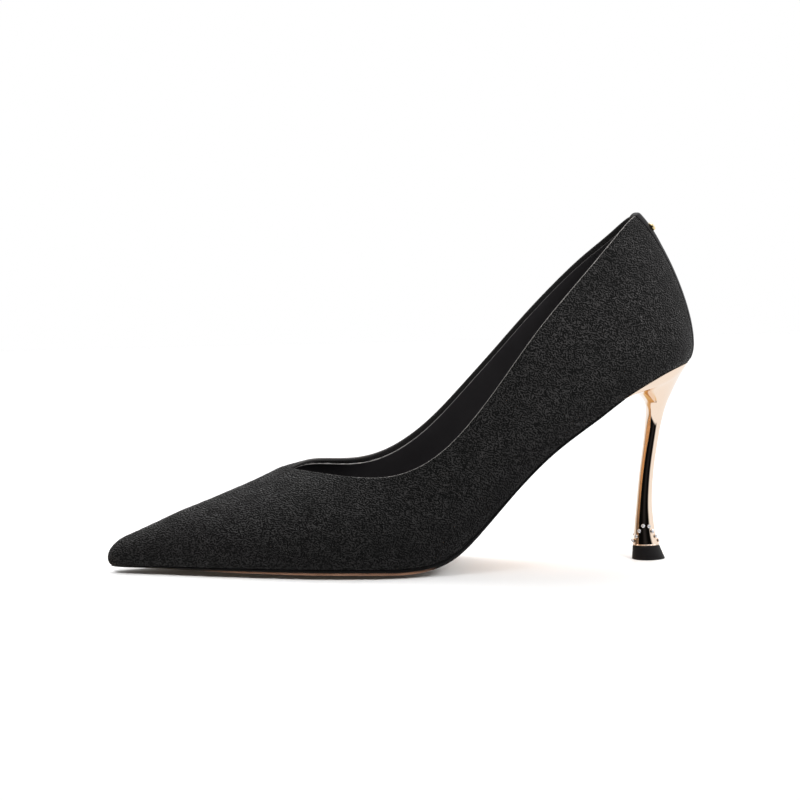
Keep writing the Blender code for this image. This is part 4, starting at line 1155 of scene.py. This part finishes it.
def add_soft_light(name, place, target, size, watts, spread=180):
    light = bpy.data.lights.new(name, "AREA")
    light.spread = math.radians(spread)
    light.shape = "RECTANGLE"
    light.size, light.size_y = size
    light.energy = watts
    lamp = add_object(name, light)
    lamp.location = place
    lamp.rotation_euler = (Vector(place) - Vector(target)).to_track_quat("Z", "Y").to_euler()
    return lamp


add_soft_light("overhead", (0.1, 0.6, 1.2), (0, 0, 0.05), (1.4, 0.7), 9.5)
for name, place, target, watts, spread in (
    ("quarter_fill", (0.2, -0.2, 0.2), (0.1, -0.03, 0.12), 0.155, 62),
    ("toe_fill", (-0.22, -0.2, 0.25), (-0.1, -0.01, 0.03), 0.055, 45),
):
    add_soft_light(name, place, target, FILL_SIZE, watts, spread).visible_glossy = False

# The room seen all round, by degrees from the camera's side towards the heel's back: its walls,
# pale on the left and black behind the camera; the same with a warm card on the left, low down,
# where only the heel's polish sees it; and its ground, warm on the left and behind
BEHIND_CAMERA = (
    (-68, "#0a0a0a"), (-30, "#0a0a0a"), (-6, "#2c2c2e"), (18, "#0a0a0a"), (45, "#0a0a0a"), (61, "#ffffff"),
    (180, "#ffffff"),
)
WALLS = ((-180, "#ffffff"), (-148, "#ffffff"), (-112, "#c8c1b8"), (-80, "#b5ada4"), *BEHIND_CAMERA)
CARD = (
    (-180, "#ffffff"), (-170, "#ffffff"), (-156, "#dcb88a"), (-132, "#d3ab7c"), (-112, "#bb9062"),
    (-80, "#a87a48"), *BEHIND_CAMERA,
)
GROUND = (
    (-180, "#deb980"), (-150, "#d3a56c"), (-128, "#c39a68"), (-112, "#ffffff"), (152, "#ffffff"),
    (166, "#f2d8ae"), (180, "#deb980"),
)
room = bpy.data.worlds.new("white_room")
bpy.context.scene.world = room
room.use_nodes = True
room_tree = room.node_tree
sight = add_node(room_tree, "ShaderNodeSeparateXYZ",
                 {"Vector": add_node(room_tree, "ShaderNodeTexCoord").outputs["Generated"]})
front = add_node(room_tree, "ShaderNodeMath", {0: sight.outputs["Y"], 1: -1.0}, operation="MULTIPLY")
turn = add_node(room_tree, "ShaderNodeMath", {0: sight.outputs["X"], 1: front}, operation="ARCTAN2")
part = add_node(room_tree, "ShaderNodeMapRange", {"Value": turn, "From Min": -math.pi, "From Max": math.pi})
walls, card, ground = (
    add_node(room_tree, "ShaderNodeValToRGB", {"Fac": part},
             stops=[(degrees / 360 + 0.5, color) for degrees, color in colors])
    for colors in (WALLS, CARD, GROUND))
CEILING = to_linear("#ffffff")
seen = walls
# Each takes over between two heights of the line of sight: -1 is straight down and 1 overhead
for start, end, color in ((-0.16, -0.22, card), (-0.46, -0.52, ground), (0.5, 0.65, CEILING)):
    share = add_node(room_tree, "ShaderNodeMapRange",
                     {"Value": sight.outputs["Z"], "From Min": start, "From Max": end})
    seen = add_node(room_tree, "ShaderNodeMix", {"Factor": share, "A": seen, "B": color}, data_type="RGBA")
room_tree.links.new(output_of(seen), room_tree.nodes["Background"].inputs["Color"])

CAMERA_RISE, CAMERA_SWING, CAMERA_ROLL = (math.radians(a) for a in (5.8, 4.0, 1.0))
CAMERA_DISTANCE = 1300.0
CAMERA_HEIGHT = 68.45
FRAME_WIDTH = 328.0
SENSOR = 36.0
away = np.array([-math.sin(CAMERA_SWING) * math.cos(CAMERA_RISE),
                 -math.cos(CAMERA_SWING) * math.cos(CAMERA_RISE), math.sin(CAMERA_RISE)])
level_right = np.array([math.cos(CAMERA_SWING), -math.sin(CAMERA_SWING), 0])
level_up = np.cross(away, level_right)
right = math.cos(CAMERA_ROLL) * level_right - math.sin(CAMERA_ROLL) * level_up
above = math.sin(CAMERA_ROLL) * level_right + math.cos(CAMERA_ROLL) * level_up
place = (AXIS + (0, 0, CAMERA_HEIGHT) + away * CAMERA_DISTANCE) * MM
camera = add_object("camera", bpy.data.cameras.new("camera"))
rows = [list(row) for row in zip(right, above, away, place)]
camera.matrix_world = Matrix(rows + [[0, 0, 0, 1]])
camera.data.sensor_width = SENSOR
camera.data.lens = SENSOR * CAMERA_DISTANCE / FRAME_WIDTH
bpy.context.scene.camera = camera
bpy.context.scene.view_settings.view_transform = "Standard"
